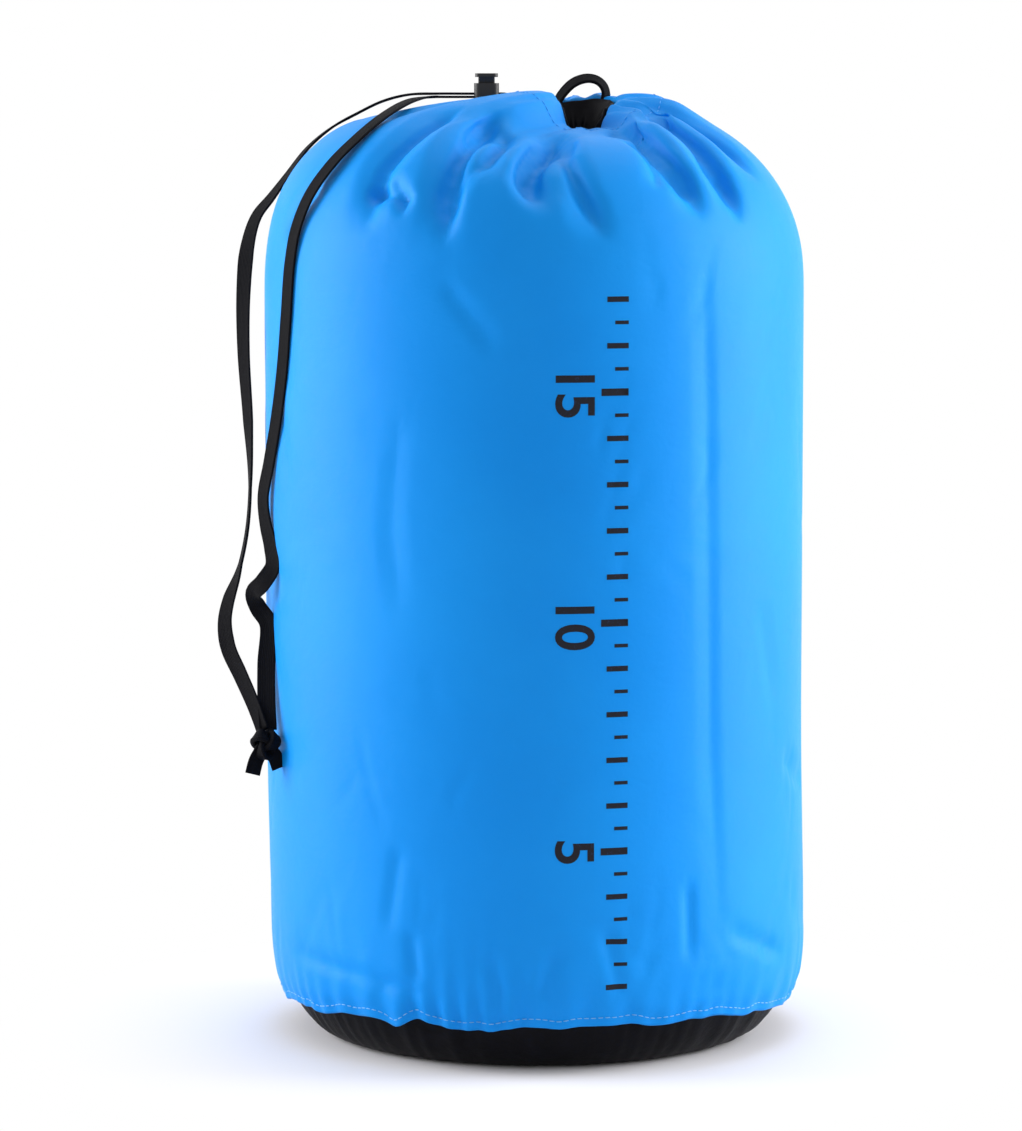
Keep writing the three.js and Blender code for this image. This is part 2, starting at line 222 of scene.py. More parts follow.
class Surface:
    """A material with one Principled shader, and the coordinates its patterns use."""

    def __init__(self, name, **constants):
        self.material = bpy.data.materials.new(name)
        self.material.use_nodes = True
        self.tree = self.material.node_tree
        self.shader = self.tree.nodes["Principled BSDF"]
        for key, value in constants.items():
            self.shader.inputs[key.replace("_", " ")].default_value = value
        self.start = Socket(self.tree, None)
        self.place = self.start.node("ShaderNodeTexCoord", output=3)

    def uv(self, which):
        across = self.start.node("ShaderNodeUVMap")
        return self.start.node("ShaderNodeSeparateXYZ", output=which, Vector=across)

    def clouds(self, scale, detail=3.0, roughness=0.5, distortion=0.0):
        return self.start.node(
            "ShaderNodeTexNoise",
            Vector=self.place,
            Scale=scale,
            Detail=detail,
            Roughness=roughness,
            Distortion=distortion,
        )

    def set(self, **links):
        for key, value in links.items():
            place = self.shader.inputs[key.replace("_", " ")]
            if isinstance(value, Socket):
                self.tree.links.new(value.socket, place)
            else:
                place.default_value = (*value, 1)
        return self

    def bump(self, height, distance, strength=1.0):
        made = self.start.node("ShaderNodeBump", Height=height, Distance=distance, Strength=strength)
        self.tree.links.new(made.socket, self.shader.inputs["Normal"])
        return self


def woven(surface, pitch):
    """Height of a plain weave on the piece's UV map, which is in metres."""
    turn = 2 * math.pi / pitch
    across = (surface.uv(0) * turn).sine()
    along = (surface.uv(1) * turn).sine()
    return across * along * 0.5 + 0.5


def blue_nylon(colours):
    s = Surface("blue coated nylon", Specular_IOR_Level=0.11, Sheen_Weight=0.012, Sheen_Roughness=0.3)
    broad = s.clouds(9, 4, 0.55)
    crumple = s.clouds(55, 5, 0.62, distortion=0.6)
    crinkle = s.clouds(230, 4, 0.6, distortion=0.3)
    weave = woven(s, 0.55 * MM)
    base = broad.ramp(0.35, 0.75).blend(tuple(colours.blue), tuple(colours.blue_light))
    s.set(Base_Color=base, Roughness=broad * 0.12 + crinkle * 0.1 + 0.33)
    s.bump(crumple * 0.30 + crinkle * 0.12 + weave * 0.05, 1.6 * MM, 0.5)
    return s.material


def black_nylon(colours):
    s = Surface("black coated nylon", Specular_IOR_Level=0.07, Sheen_Weight=0.008, Sheen_Roughness=0.4)
    crumple = s.clouds(60, 5, 0.62, distortion=0.5)
    crinkle = s.clouds(240, 4, 0.6)
    weave = woven(s, 0.55 * MM)
    # Painted highlight: the black is made up to 2.2 times lighter on the crests of the crumple bump
    black_with_painted_highlight = crumple.ramp(0.45, 0.8).blend(*shades(colours.black, 1, 2.2))
    s.set(Base_Color=black_with_painted_highlight, Roughness=crinkle * 0.15 + 0.40)
    s.bump(crumple * 0.5 + crinkle * 0.2 + weave * 0.04, 1.6 * MM, 0.6)
    return s.material


def shades(rgb, *shares):
    """The colour made darker or lighter by each share."""
    return [tuple(part * share for part in rgb) for share in shares]


def woven_tape(colours):
    """Ribs that lean from the tape's middle to its edges, with warp threads across them, and painted shade in
    their grooves and painted highlight on their crests.
    """
    pitch = 0.62 * MM
    s = Surface("woven black tape", Specular_IOR_Level=0.07, Sheen_Weight=0.01, Sheen_Roughness=0.45)
    across = s.uv(0)
    along = s.uv(1)
    lean = across.distance_to(0.0)
    twill = ((along + lean * 0.8) * (2 * math.pi / pitch)).sine()
    warp = (across * (2 * math.pi / (pitch * 1.35))).sine()
    fuzz = s.clouds(900, 3, 0.6)
    height = twill * 0.5 + warp * 0.35 + fuzz * 0.5
    # Painted shade and highlight on the twill ribs: the colour is darker in the grooves and lighter on the
    # crests, following the ribs' height
    shade = (twill * 0.5 + 0.5).blend(*shades(colours.tape, 0.55, 1.7))
    s.set(Base_Color=shade, Roughness=fuzz * 0.2 + 0.62)
    s.bump(height, 0.22 * MM, 0.8)
    return s.material


def thread(colours):
    s = Surface("pale sewing thread", Sheen_Weight=0.3)
    ply = s.clouds(1800, 2, 0.5)
    shade = ply.blend(*shades(colours.thread, 0.75, 1))
    s.set(Base_Color=shade, Roughness=ply * 0.2 + 0.5)
    return s.bump(ply, 0.1 * MM, 0.6).material


def black_thread(colours):
    s = Surface("black sewing thread", Sheen_Weight=0.3)
    ply = s.clouds(1800, 2, 0.5)
    shade = ply.blend((0.003, 0.003, 0.004), (0.012, 0.012, 0.014))
    s.set(Base_Color=shade, Roughness=ply * 0.2 + 0.5)
    return s.bump(ply, 0.1 * MM, 0.6).material


def blue_thread(colours):
    s = Surface("blue sewing thread", Sheen_Weight=0.2)
    ply = s.clouds(1800, 2, 0.5)
    shade = ply.blend((0.006, 0.24, 0.70), (0.03, 0.36, 0.88))
    s.set(Base_Color=shade, Roughness=ply * 0.2 + 0.5)
    return s.bump(ply, 0.1 * MM, 0.6).material


def moulded_plastic(colours):
    s = Surface("moulded black plastic", Specular_IOR_Level=0.35)
    spark = s.clouds(2600, 3, 0.6)
    wear = s.clouds(160, 4, 0.6)
    shade = wear.ramp(0.5, 0.8).blend(*shades(colours.plastic, 1, 1.9))
    s.set(Base_Color=shade, Roughness=wear * 0.15 + spark * 0.12 + 0.28)
    return s.bump(spark, 0.06 * MM, 0.5).material


def spring_wire(colours):
    s = Surface("bright spring wire", Metallic=1.0)
    draw = s.clouds(1400, 2, 0.5)
    shade = draw.blend((0.42, 0.42, 0.43), (0.62, 0.62, 0.63))
    return s.set(Base_Color=shade, Roughness=draw * 0.15 + 0.22).material


def scale_ink(colours):
    s = Surface("black scale ink", Specular_IOR_Level=0.15)
    grain = s.clouds(700, 4, 0.65)
    shade = grain.ramp(0.55, 0.8).blend(tuple(colours.ink), (0.018, 0.035, 0.09))
    s.set(Base_Color=shade, Roughness=grain * 0.2 + 0.4)
    return s.bump(s.clouds(230, 4, 0.6, distortion=0.3), 0.3 * MM, 0.4).material


MAKERS = {
    "blue": blue_nylon,
    "black": black_nylon,
    "tape": woven_tape,
    "thread": thread,
    "black_thread": black_thread,
    "channel_thread": blue_thread,
    "plastic": moulded_plastic,
    "spring": spring_wire,
    "ink": scale_ink,
}
made_materials = {}


def finish_named(name):
    """The named material, made the first time that it is asked for."""
    if name not in made_materials:
        made_materials[name] = MAKERS[name](bpy.context.scene.sack_colours)
    return made_materials[name]


# ------------------------------------------------------------------ meshes


def smoothstep(x, low, high):
    t = np.clip((x - low) / (high - low), 0, 1)
    return t * t * (3 - 2 * t)


def new_piece(name, vertices, faces, material, uv=None, smooth=True, wrap=None):
    """A mesh object; uv holds one pair for each vertex, and repeats in u after wrap."""
    mesh = bpy.data.meshes.new(name)
    mesh.from_pydata([tuple(v) for v in vertices], [], [tuple(f) for f in faces])
    mesh.validate()
    if uv is not None:
        layer = mesh.uv_layers.new(name="UVMap")
        corner = np.empty(len(mesh.loops), dtype=np.int32)
        mesh.loops.foreach_get("vertex_index", corner)
        spread = np.asarray(uv, dtype=np.float32)[corner]
        if wrap:
            quads = spread.reshape(-1, 4, 2)
            jump = quads[:, :, 0].max(1, keepdims=True) - quads[:, :, 0] > wrap / 2
            quads[:, :, 0] += wrap * jump
        layer.data.foreach_set("uv", spread.ravel())
    if smooth:
        mesh.shade_smooth()
    piece = bpy.data.objects.new(name, mesh)
    bpy.context.scene.collection.objects.link(piece)
    mesh.materials.append(finish_named(material))
    return piece


def grid_faces(rows, columns, closed=True):
    """Quads of a grid whose rows run round; row 0 is the lowest."""
    i, j = np.meshgrid(np.arange(rows - 1), np.arange(columns if closed else columns - 1), indexing="ij")
    k = (j + 1) % columns
    low, high = i * columns, (i + 1) * columns
    quads = np.stack([low + j, low + k, high + k, high + j], axis=-1)
    return quads.reshape(-1, 4)


def points_of(piece):
    count = len(piece.data.vertices)
    flat = np.empty(count * 3, dtype=np.float64)
    piece.data.vertices.foreach_get("co", flat)
    return flat.reshape(-1, 3)


def move_points(piece, points):
    piece.data.vertices.foreach_set("co", np.asarray(points, dtype=np.float32).ravel())
    piece.data.update()


def applied(piece):
    """Replaces the piece's mesh by what its modifiers make of it."""
    depsgraph = bpy.context.evaluated_depsgraph_get()
    mesh = bpy.data.meshes.new_from_object(piece.evaluated_get(depsgraph))
    piece.modifiers.clear()
    old = piece.data
    piece.data = mesh
    bpy.data.meshes.remove(old)
    return piece


def surface_tree(piece):
    return BVHTree.FromPolygons(
        [v.co.copy() for v in piece.data.vertices],
        [tuple(p.vertices) for p in piece.data.polygons],
    )


def settle(piece, body, slot, *nodes):
    """Rides a finished piece on its body, in place of its frame nodes."""
    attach(piece, body)
    if nodes:
        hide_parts(*nodes)
    return piece


# ------------------------------------------------------------------ the sack's shape


HEM_ANGLE = 55.5
STITCH_RISE = 4.6 * MM


def cloth_line(sizes):
    """Radii and heights of the blue cloth from its hem, up the wall and over the rim into the mouth."""
    foot, corner = sizes.foot_radius, sizes.corner_height
    reach = SACK_RADIUS - foot
    turn = np.radians(np.linspace(HEM_ANGLE, 90, 12))
    low = np.stack([foot + reach * np.sin(turn), corner * (1 - np.cos(turn))], 1)
    turn = np.radians(np.linspace(0, 90, 60))
    across = SACK_RADIUS - sizes.rim_radius
    rise = sizes.crown - sizes.shoulder_start
    power = 2 / 2.45
    shoulder = np.stack(
        [
            sizes.rim_radius + across * np.cos(turn) ** power,
            sizes.shoulder_start + rise * np.sin(turn) ** power,
        ],
        1,
    )
    turn = np.radians(np.linspace(0, 90, 12))[1:]
    inner = 18.5 * MM
    depth = 4.5 * MM
    rim = np.stack(
        [
            sizes.rim_radius - (sizes.rim_radius - inner) * np.sin(turn),
            sizes.crown - depth + depth * np.cos(turn),
        ],
        1,
    )
    throat = np.array([[18.8 * MM, sizes.crown - 8 * MM], [20.5 * MM, sizes.crown - 13 * MM]])
    return np.concatenate([low, shoulder, rim, throat])


def run_length(line):
    """How far along a line each of its points is."""
    return np.concatenate([[0], np.cumsum(np.linalg.norm(np.diff(line, axis=0), axis=1))])


def read_along(line, long, at):
    """Points of a line at the given lengths along it."""
    return np.stack([np.interp(at, long, line[:, k]) for k in range(line.shape[1])], 1)


def spaced_rows(line, count):
    """Points along a section, closer together at its hem and above the shoulder."""
    long = run_length(line)
    fine = np.linspace(0, long[-1], 2000)
    height = np.interp(fine, long, line[:, 1])
    weight = 1.0 + 1.1 * smoothstep(height, 0.335, 0.375) + 0.9 * (1 - smoothstep(height, 0.03, 0.07))
    share = np.cumsum(weight)
    share = (share - share[0]) / (share[-1] - share[0])
    at = np.interp(np.linspace(0, 1, count), share, fine)
    return read_along(line, long, at), at


def turned_grid(line, columns, start=0.0):
    """Points of a section turned round the axis, row by row from the section's start."""
    turn = np.arange(columns) / columns * 2 * math.pi + start
    radius = line[:, 0][:, None]
    x = radius * np.cos(turn)[None, :]
    y = radius * np.sin(turn)[None, :]
    z = np.broadcast_to(line[:, 1][:, None], x.shape)
    return np.stack([x, y, z], -1)


# Height of the mouth's rim round it: degrees from +X about the mouth's centre, and millimetres from the crown
RIM_RISE = [
    (0, 1.0), (28, 3.0), (58, 3.6), (90, 2.6), (120, 1.6), (150, 0.5), (168, 0.0), (192, 0.0), (208, 1.8),
    (222, 4.0), (238, 3.2), (245, 0.0), (258, -12.0), (264, -13.5), (275, -12.5), (288, -13.0), (298, -13.5),
    (309, -6.0), (318, -0.5), (340, 1.5),
]  # fmt: skip

# Gathers round the mouth: bearing in degrees, depth, half width and reach in millimetres
GATHERS = [
    (8, 6.5, 13, 104), (33, 5.0, 11, 92), (52, 7.0, 15, 112), (80, 5.5, 12, 96), (101, 7.0, 14, 112),
    (124, 5.0, 12, 92), (146, 6.5, 13, 104), (163, 3.5, 8, 84), (197, 3.5, 8, 84), (214, 5.0, 11, 98),
    (281, 2.0, 8, 64), (322, 6.0, 13, 104), (342, 5.5, 12, 100),
]  # fmt: skip


def periodic(table, degrees):
    """Reads a smooth closed curve given at a few angles."""
    angle = np.array([row[0] for row in table], dtype=float)
    value = np.array([row[1] for row in table], dtype=float)
    angle = np.concatenate([angle - 360, angle, angle + 360])
    value = np.tile(value, 3)
    place = np.mod(degrees, 360)
    after = np.searchsorted(angle, place, side="right")
    before = after - 1
    t = (place - angle[before]) / (angle[after] - angle[before])
    t = t * t * (3 - 2 * t)
    return value[before] * (1 - t) + value[after] * t


def gathered(grid):
    """Draws the top towards the mouth's centre, and raises and lowers its lobes."""
    x, y, z = grid[..., 0], grid[..., 1], grid[..., 2]
    radius = np.hypot(x, y)
    top = smoothstep(z, 0.345, 0.40)
    near = 1 - smoothstep(radius, 30 * MM, 90 * MM)
    degrees = np.degrees(np.arctan2(y, x))
    rise = periodic(RIM_RISE, degrees) * MM
    raised = np.clip(rise, 0, None) * (1 - smoothstep(radius, 30 * MM, 92 * MM))
    sunk = np.clip(rise, None, 0) * (1 - smoothstep(radius, 56 * MM, 112 * MM))
    lobes = raised + sunk
    for bearing, depth, width, reach in GATHERS:
        off = np.mod(degrees - bearing + 180, 360) - 180
        bend = 1.2 * np.sin(radius * 95 + bearing)
        across = np.radians(off + bend) * radius
        spread = (width * MM) * (0.45 + 0.55 * smoothstep(radius, 20 * MM, 70 * MM))
        groove = np.clip(1 - np.abs(across) / spread, 0, 1) ** 1.12
        along = smoothstep(radius, 17 * MM, 30 * MM) * (1 - smoothstep(radius, 0.45 * reach * MM, reach * MM))
        lobes = lobes - depth * MM * groove * along
    moved = grid.copy()
    lean = -3 * MM * smoothstep(z, 0.36, 0.43) + 2 * MM * (1 - smoothstep(z, 0.02, 0.16))
    moved[..., 0] = x + MOUTH_CENTRE.x * near * top + lean * (1 - near)
    moved[..., 2] = z + lobes * top
    return trough(moved)


def trough(grid):
    """Presses in the fold that the cord lock and both tapes lie in."""
    x, y = grid[..., 0], grid[..., 1]
    out = MOUTH_CENTRE.x - x
    along = smoothstep(out, 25 * MM, 34 * MM) * (1 - smoothstep(out, 66 * MM, 104 * MM))
    across = 1 - smoothstep(np.abs(y), 9 * MM, 16 * MM)
    grid[..., 2] -= 9.2 * MM * along * across * (grid[..., 2] > 0.38)
    return grid


# Each fold: points on the cloth that it runs through (millimetres), depth, and its width on either side
FOLDS = [
    (
        [
            (10, -58, 424), (4, -84, 416), (-1, -97, 409), (-4, -107, 400), (-1, -112, 394), (5, -115, 389),
            (12, -118, 385),
        ],
        12, 14, 9,
    ),
    (
        [(36, -40, 423), (48, -64, 418), (58, -80, 411), (66, -88, 402), (71, -92, 392), (74, -96, 378)],
        8, 9, 12,
    ),
    ([(48, -26, 430), (66, -46, 421), (80, -64, 408), (90, -74, 393), (95, -79, 378)], 7, 9, 16),
    ([(46, -12, 431), (70, -26, 424), (91, -40, 410), (101, -46, 394)], 5.5, 9, 15),
    ([(16, -70, 417), (14, -96, 408), (20, -110, 394), (28, -117, 380), (33, -119, 370)], 5.5, 7, 13),
    ([(40, -66, 415), (48, -80, 408), (52, -88, 400), (50, -96, 390)], 4, 10, 7),
    (
        [
            (-12, -48, 430), (-24, -76, 420), (-33, -94, 408), (-38, -106, 394), (-39, -113, 378),
            (-40, -117, 366),
        ],
        7.5, 8, 15,
    ),
    ([(-14, -60, 425), (-14, -86, 413), (-20, -100, 403), (-30, -104, 397)], 4.5, 9, 9),
    ([(-30, -50, 428), (-50, -70, 417), (-66, -82, 402), (-71, -90, 388), (-73, -96, 372)], 6, 12, 13),
    ([(-74, -82, 393), (-64, -92, 391), (-56, -98, 389), (-50, -101, 392)], 3.2, 5, 6),
    ([(-60, -88, 398), (-56, -98, 389), (-58, -103, 380)], 3.0, 4, 5),
    ([(-92, -60, 398), (-104, -54, 388), (-112, -46, 368)], 4, 12, 12),
    ([(58, 8, 430), (92, 26, 412), (110, 42, 386)], 5, 13, 14),
    ([(50, 40, 428), (74, 70, 408), (86, 84, 384)], 5, 12, 14),
    ([(16, 52, 430), (6, 84, 414), (2, 112, 388), (2, 121, 364)], 5, 14, 12),
    ([(-20, 44, 428), (-44, 80, 410), (-56, 100, 384)], 5, 13, 12),
    ([(-50, 30, 426), (-84, 56, 404), (-100, 66, 378)], 4.5, 12, 13),
]

# Finer creases pressed into the finished cloth: three in the folds at the top, then those lower down
CREASES = [
    (
        [(6, -76, 418), (1, -92, 412), (-4, -102, 405), (-5, -108, 398), (-1, -112, 393), (5, -115, 389)],
        1.5, 6, 3.6,
    ),
    ([(70, -70, 411), (82, -72, 402), (91, -76, 390), (94, -80, 378)], 1.1, 3.5, 6),
    ([(-10, -78, 418), (-24, -99, 405), (-37, -110, 386), (-40, -116, 368)], 1.1, 6, 3.5),
    (
        [
            (73, -96, 388), (75, -99, 352), (77, -98, 300), (78, -97, 220), (79, -96, 140), (82, -93, 70),
            (84, -84, 28),
        ],
        0.9, 6, 10,
    ),
    ([(84, -92, 62), (98, -76, 54), (113, -48, 42)], 1.3, 6, 7),
    ([(68, -104, 88), (68, -102, 46)], 1.1, 5, 5),
    ([(-112, -50, 46), (-80, -92, 42), (-36, -112, 36)], 1.2, 6, 6),
    ([(-56, -110, 66), (-50, -108, 40)], 1.0, 5, 5),
    ([(-60, -108, 104), (-66, -104, 60)], 0.8, 6, 6),
    ([(-60, -110, 300), (-64, -107, 250), (-60, -110, 200)], 0.6, 9, 9),
    ([(-42, -117, 356), (-26, -121, 336), (-14, -124, 322)], 0.9, 7, 7),
    ([(112, -54, 136), (121, -30, 122), (124, -10, 118)], 1.4, 9, 8),
    ([(-118, -40, 320), (-110, -58, 250)], 0.7, 10, 10),
    ([(10, -122, 60), (2, -118, 34)], 0.9, 5, 6),
    ([(30, -118, 70), (36, -110, 34)], 0.9, 6, 5),
    ([(-20, -121, 58), (-14, -117, 32)], 0.8, 5, 5),
    ([(100, -70, 210), (108, -60, 160)], 0.8, 9, 9),
    ([(60, 108, 320), (66, 104, 200), (62, 106, 90)], 0.9, 8, 8),
    ([(-60, 108, 300), (-66, 104, 160), (-58, 104, 60)], 0.9, 9, 7),
    ([(-118, 36, 320), (-122, 20, 180), (-118, 30, 70)], 0.8, 8, 9),
    ([(118, 40, 330), (121, 26, 200), (118, 36, 80)], 0.8, 9, 8),
    ([(40, 116, 60), (90, 80, 40)], 1.2, 6, 6),
    ([(-40, 116, 56), (-92, 78, 44)], 1.2, 6, 6),
]


def crumples(seed, count, low, high):
    """Short slight creases scattered over the wall between two heights."""
    chance = np.random.default_rng(seed)
    wall = SACK_RADIUS / MM
    made = []
    for _ in range(count):
        turn = chance.uniform(0, 2 * math.pi)
        height = chance.uniform(low, high)
        lean = chance.normal(math.pi / 2, 0.75)
        half = chance.uniform(7, 30)
        line = []
        for step in (-1, -0.3, 0.4, 1):
            sway = chance.normal(0, 0.07) * half
            around = turn + (math.cos(lean) * half * step + math.sin(lean) * sway) / wall
            rise = height + math.sin(lean) * half * step - math.cos(lean) * sway
            line.append((wall * math.cos(around), wall * math.sin(around), rise))
        made.append((line, chance.uniform(0.12, 0.42), chance.uniform(3, 9), chance.uniform(3, 9)))
    return made


def folded(points, normals, folds):
    """Presses each fold into the cloth: deepest along its line, flat-sided, fading at its ends."""
    moved = points.copy()
    for line, depth, left, right in folds:
        route = np.array(line, dtype=float) * MM
        long = run_length(route)
        route = read_along(route, long, np.linspace(0, long[-1], 48))
        reach = max(left, right) * 1.3 * MM
        close = np.all(points > route.min(0) - reach, 1) & np.all(points < route.max(0) + reach, 1)
        chosen = np.flatnonzero(close)
        if not len(chosen):
            continue
        gap = points[chosen][:, None, :] - route[None, :, :]
        far = np.linalg.norm(gap, axis=2)
        nearest = far.argmin(1)
        along = nearest / 47
        run = np.gradient(route, axis=0)[nearest]
        run /= np.linalg.norm(run, axis=1)[:, None]
        offset = gap[np.arange(len(chosen)), nearest]
        face = normals[chosen]
        side = np.einsum("ij,ij->i", np.cross(face, run), offset)
        width = np.where(side > 0, left, right) * MM
        shape = np.clip(1 - np.abs(side) / width, 0, 1) ** 1.15
        ends = smoothstep(along, 0, 0.22) * (1 - smoothstep(along, 0.7, 1.0))
        beyond = np.clip(1 - np.abs(np.einsum("ij,ij->i", run, offset)) / (12 * MM), 0, 1)
        moved[chosen] -= face * (depth * MM * shape * ends * beyond)[:, None]
    return moved


def grid_normals(grid):
    """Outward normals of a closed grid."""
    along = np.gradient(grid, axis=0)
    around = np.roll(grid, -1, axis=1) - np.roll(grid, 1, axis=1)
    normal = np.cross(around, along)
    return normal / np.maximum(np.linalg.norm(normal, axis=2), 1e-12)[..., None]


def mesh_normals(piece):
    count = len(piece.data.vertices)
    flat = np.empty(count * 3, dtype=np.float32)
    piece.data.vertices.foreach_get("normal", flat)
    return flat.reshape(-1, 3).astype(float)


def relaxed(piece, pinned, rest, frames, most):
    """Lets the cloth settle under a little air, with the pinned points held, and caps how far it moves."""
    before = points_of(piece)
    keys = piece.shape_key_add(name="placed", from_mix=False)
    slack = piece.shape_key_add(name="slack", from_mix=False)
    slack.data.foreach_set("co", np.asarray(rest, dtype=np.float32).ravel())
    keys.value = 0
    group = piece.vertex_groups.new(name="held")
    for weight in np.unique(np.round(pinned, 2)):
        if weight > 0:
            group.add(np.flatnonzero(np.round(pinned, 2) == weight).tolist(), float(weight), "REPLACE")
    cloth = piece.modifiers.new("cloth", "CLOTH")
    settings = cloth.settings
    settings.quality = 6
    settings.mass = 0.2
    settings.tension_stiffness = 12
    settings.compression_stiffness = 6
    settings.shear_stiffness = 4
    settings.bending_stiffness = 0.35
    settings.tension_damping = 8
    settings.compression_damping = 8
    settings.shear_damping = 8
    settings.air_damping = 6
    settings.vertex_group_mass = "held"
    settings.pin_stiffness = 1
    settings.rest_shape_key = slack
    settings.use_pressure = True
    settings.uniform_pressure_force = 1.2
    settings.effector_weights.gravity = 0
    cloth.collision_settings.use_collision = False
    cloth.collision_settings.use_self_collision = False
    cloth.point_cache.frame_start = 1
    cloth.point_cache.frame_end = frames
    scene = bpy.context.scene
    for step in range(1, frames + 1):
        scene.frame_set(step)
    depsgraph = bpy.context.evaluated_depsgraph_get()
    settled = bpy.data.meshes.new_from_object(piece.evaluated_get(depsgraph))
    flat = np.empty(len(settled.vertices) * 3, dtype=np.float64)
    settled.vertices.foreach_get("co", flat)
    bpy.data.meshes.remove(settled)
    piece.modifiers.clear()
    piece.shape_key_clear()
    piece.vertex_groups.clear()
    scene.frame_set(1)
    step = flat.reshape(-1, 3) - before
    size = np.linalg.norm(step, axis=1)
    limit = np.minimum(1, most / np.maximum(size, 1e-9))
    move_points(piece, before + step * limit[:, None])
    return piece


def doubled(piece):
    """One smooth subdivision, applied."""
    finer = piece.modifiers.new("finer", "SUBSURF")
    finer.levels = 1
    finer.render_levels = 1
    return applied(piece)


SEAM_TURN = math.radians(93.75)


def hem_height(sizes, turn):
    return sizes.corner_height * (1 - math.cos(math.radians(HEM_ANGLE))) + hem_wave(turn)


def wave(turn, count, phase):
    return np.sin(turn * count + phase)


def hem_wave(turn):
    """Rise and fall of the hem round the sack, with one deep tuck."""
    tuck = np.mod(turn - math.radians(238) + math.pi, 2 * math.pi) - math.pi
    return (
        0.9 * wave(turn, 5, 0.6)
        + 0.7 * wave(turn, 9, 2.1)
        + 0.7 * wave(turn, 17, 4.0)
        + 0.45 * wave(turn, 31, 1.0)
        + 0.25 * wave(turn, 53, 2.0)
        - 2.2 * (1 + np.cos(2 * turn))
        - 3.4 * np.exp(-((tuck / 0.045) ** 2))
        + 1.2 * np.exp(-(((tuck - 0.09) / 0.05) ** 2))
    ) * MM


def fold_clear(points):
    """1 in the fold that the cord lock lies in, 0 outside it."""
    x, y, z = points[:, 0], points[:, 1], points[:, 2]
    beside = 1 - smoothstep(np.abs(y), 12 * MM, 20 * MM)
    return beside * (x < -2 * MM) * (x > -95 * MM) * (z > 0.40)


def body_cloth(sizes):
    """The blue tube: turned under at its hem, folded at the top, and settled as cloth."""
    line = cloth_line(sizes)
    under = line[0] + np.array([[-3.2, 5.0], [-1.7, 0.3]]) * MM
    rows, at = spaced_rows(line, sizes.rows)
    rows = np.concatenate([under, rows])
    at = np.concatenate([[-5 * MM, -1.5 * MM], at])
    grid = gathered(turned_grid(rows, sizes.columns, start=math.pi / 2))
    turn = np.arctan2(grid[..., 1], grid[..., 0])
    low = 1 - smoothstep(grid[..., 2], 12 * MM, 62 * MM)
    grid[..., 2] += hem_wave(turn) * low
    normals = grid_normals(grid)
    placed = folded(grid.reshape(-1, 3), normals.reshape(-1, 3), FOLDS)
    girth = 2 * math.pi * SACK_RADIUS
    around = np.tile(np.arange(sizes.columns) / sizes.columns * girth, len(rows))
    uv = np.stack([around, np.repeat(at, sizes.columns)], 1)
    faces = grid_faces(len(rows), sizes.columns)
    piece = new_piece("blue_body_cloth", placed, faces, "blue", uv, wrap=girth)
    height = placed[:, 2]
    radius = np.hypot(grid[..., 0], grid[..., 1]).ravel()
    held = np.zeros(len(placed))
    held[: 5 * sizes.columns] = 1
    held[-16 * sizes.columns :] = 1
    held = np.maximum(held, 0.9 * fold_clear(placed))
    excess = 1.010 + 0.03 * smoothstep(height, 0.35, 0.42)
    rest = placed.copy()
    rest[:, :2] *= excess[:, None]
    rest[:, 2] *= 1.006
    relaxed(piece, held, rest, frames=14, most=2.5 * MM)
    doubled(piece)
    fine = points_of(piece)
    normals = mesh_normals(piece)
    sharper = [(line, depth * 0.38, left * 0.42, right * 0.42) for line, depth, left, right in FOLDS[1:]]
    pressed = [(line, depth * 1.5, left, right) for line, depth, left, right in CREASES]
    fine = folded(fine, normals, sharper + pressed + crumples(11, 150, 30, 380) + crumples(12, 90, 20, 70))
    turn = np.arctan2(fine[:, 1], fine[:, 0])
    stitch = fine[:, 2] - hem_height(sizes, turn) - STITCH_RISE
    pull = np.exp(-((stitch / (3.2 * MM)) ** 2))
    pucker = 0.5 + 0.5 * np.sin(turn * 61 + 3 * np.sin(turn * 7)) * (0.6 + 0.4 * np.sin(turn * 3 + 1))
    above = np.exp(-np.clip(stitch - 3 * MM, 0, None) / (11 * MM)) * (stitch > -6 * MM)
    outward = np.stack([np.cos(turn), np.sin(turn), np.zeros_like(turn)], 1)
    fine += outward * (-0.6 * MM * pull + 2.1 * MM * above * (pucker - 0.35))[:, None]
    arc = (np.mod(turn - SEAM_TURN + math.pi, 2 * math.pi) - math.pi) * SACK_RADIUS
    strip = (1 - smoothstep(np.abs(arc), 4.6 * MM, 5.6 * MM)) * (fine[:, 2] < 0.36)
    sewn = np.exp(-(((np.abs(arc) - 3 * MM) / (1.2 * MM)) ** 2))
    fine += outward * (strip * (0.7 - 0.5 * sewn) * MM)[:, None]
    normals = grid_facing(piece, fine)
    for route in (FRONT_TAIL, BACK_TAIL):
        laid = smooth_route(route, 420)[0]
        fine = pressed_under(fine, normals, laid[laid[:, 0] < -11 * MM])
    move_points(piece, fine)
    return piece


def grid_facing(piece, points):
    """Normals of the piece once its points are moved."""
    move_points(piece, points)
    return mesh_normals(piece)


def pressed_under(points, normals, route, clear=1.3 * MM):
    """Lets a tape lie on the cloth: cloth that stands above it gives way, with soft shoulders."""
    moved = points.copy()
    close = np.all(points > route.min(0) - 16 * MM, 1) & np.all(points < route.max(0) + 16 * MM, 1)
    chosen = np.flatnonzero(close)
    for block in np.array_split(chosen, max(1, len(chosen) // 4000)):
        gap = route[None, :, :] - points[block][:, None, :]
        nearest = (gap**2).sum(2).argmin(1)
        offset = gap[np.arange(len(block)), nearest]
        face = normals[block]
        height = np.einsum("ij,ij->i", offset, face)
        beside = np.linalg.norm(offset - face * height[:, None], axis=1)
        short = np.clip(clear - height, 0, 6 * MM)
        share = 1 - smoothstep(beside, 5.2 * MM, 12 * MM)
        moved[block] -= face * (short * share * (height > -8 * MM))[:, None]
    return moved


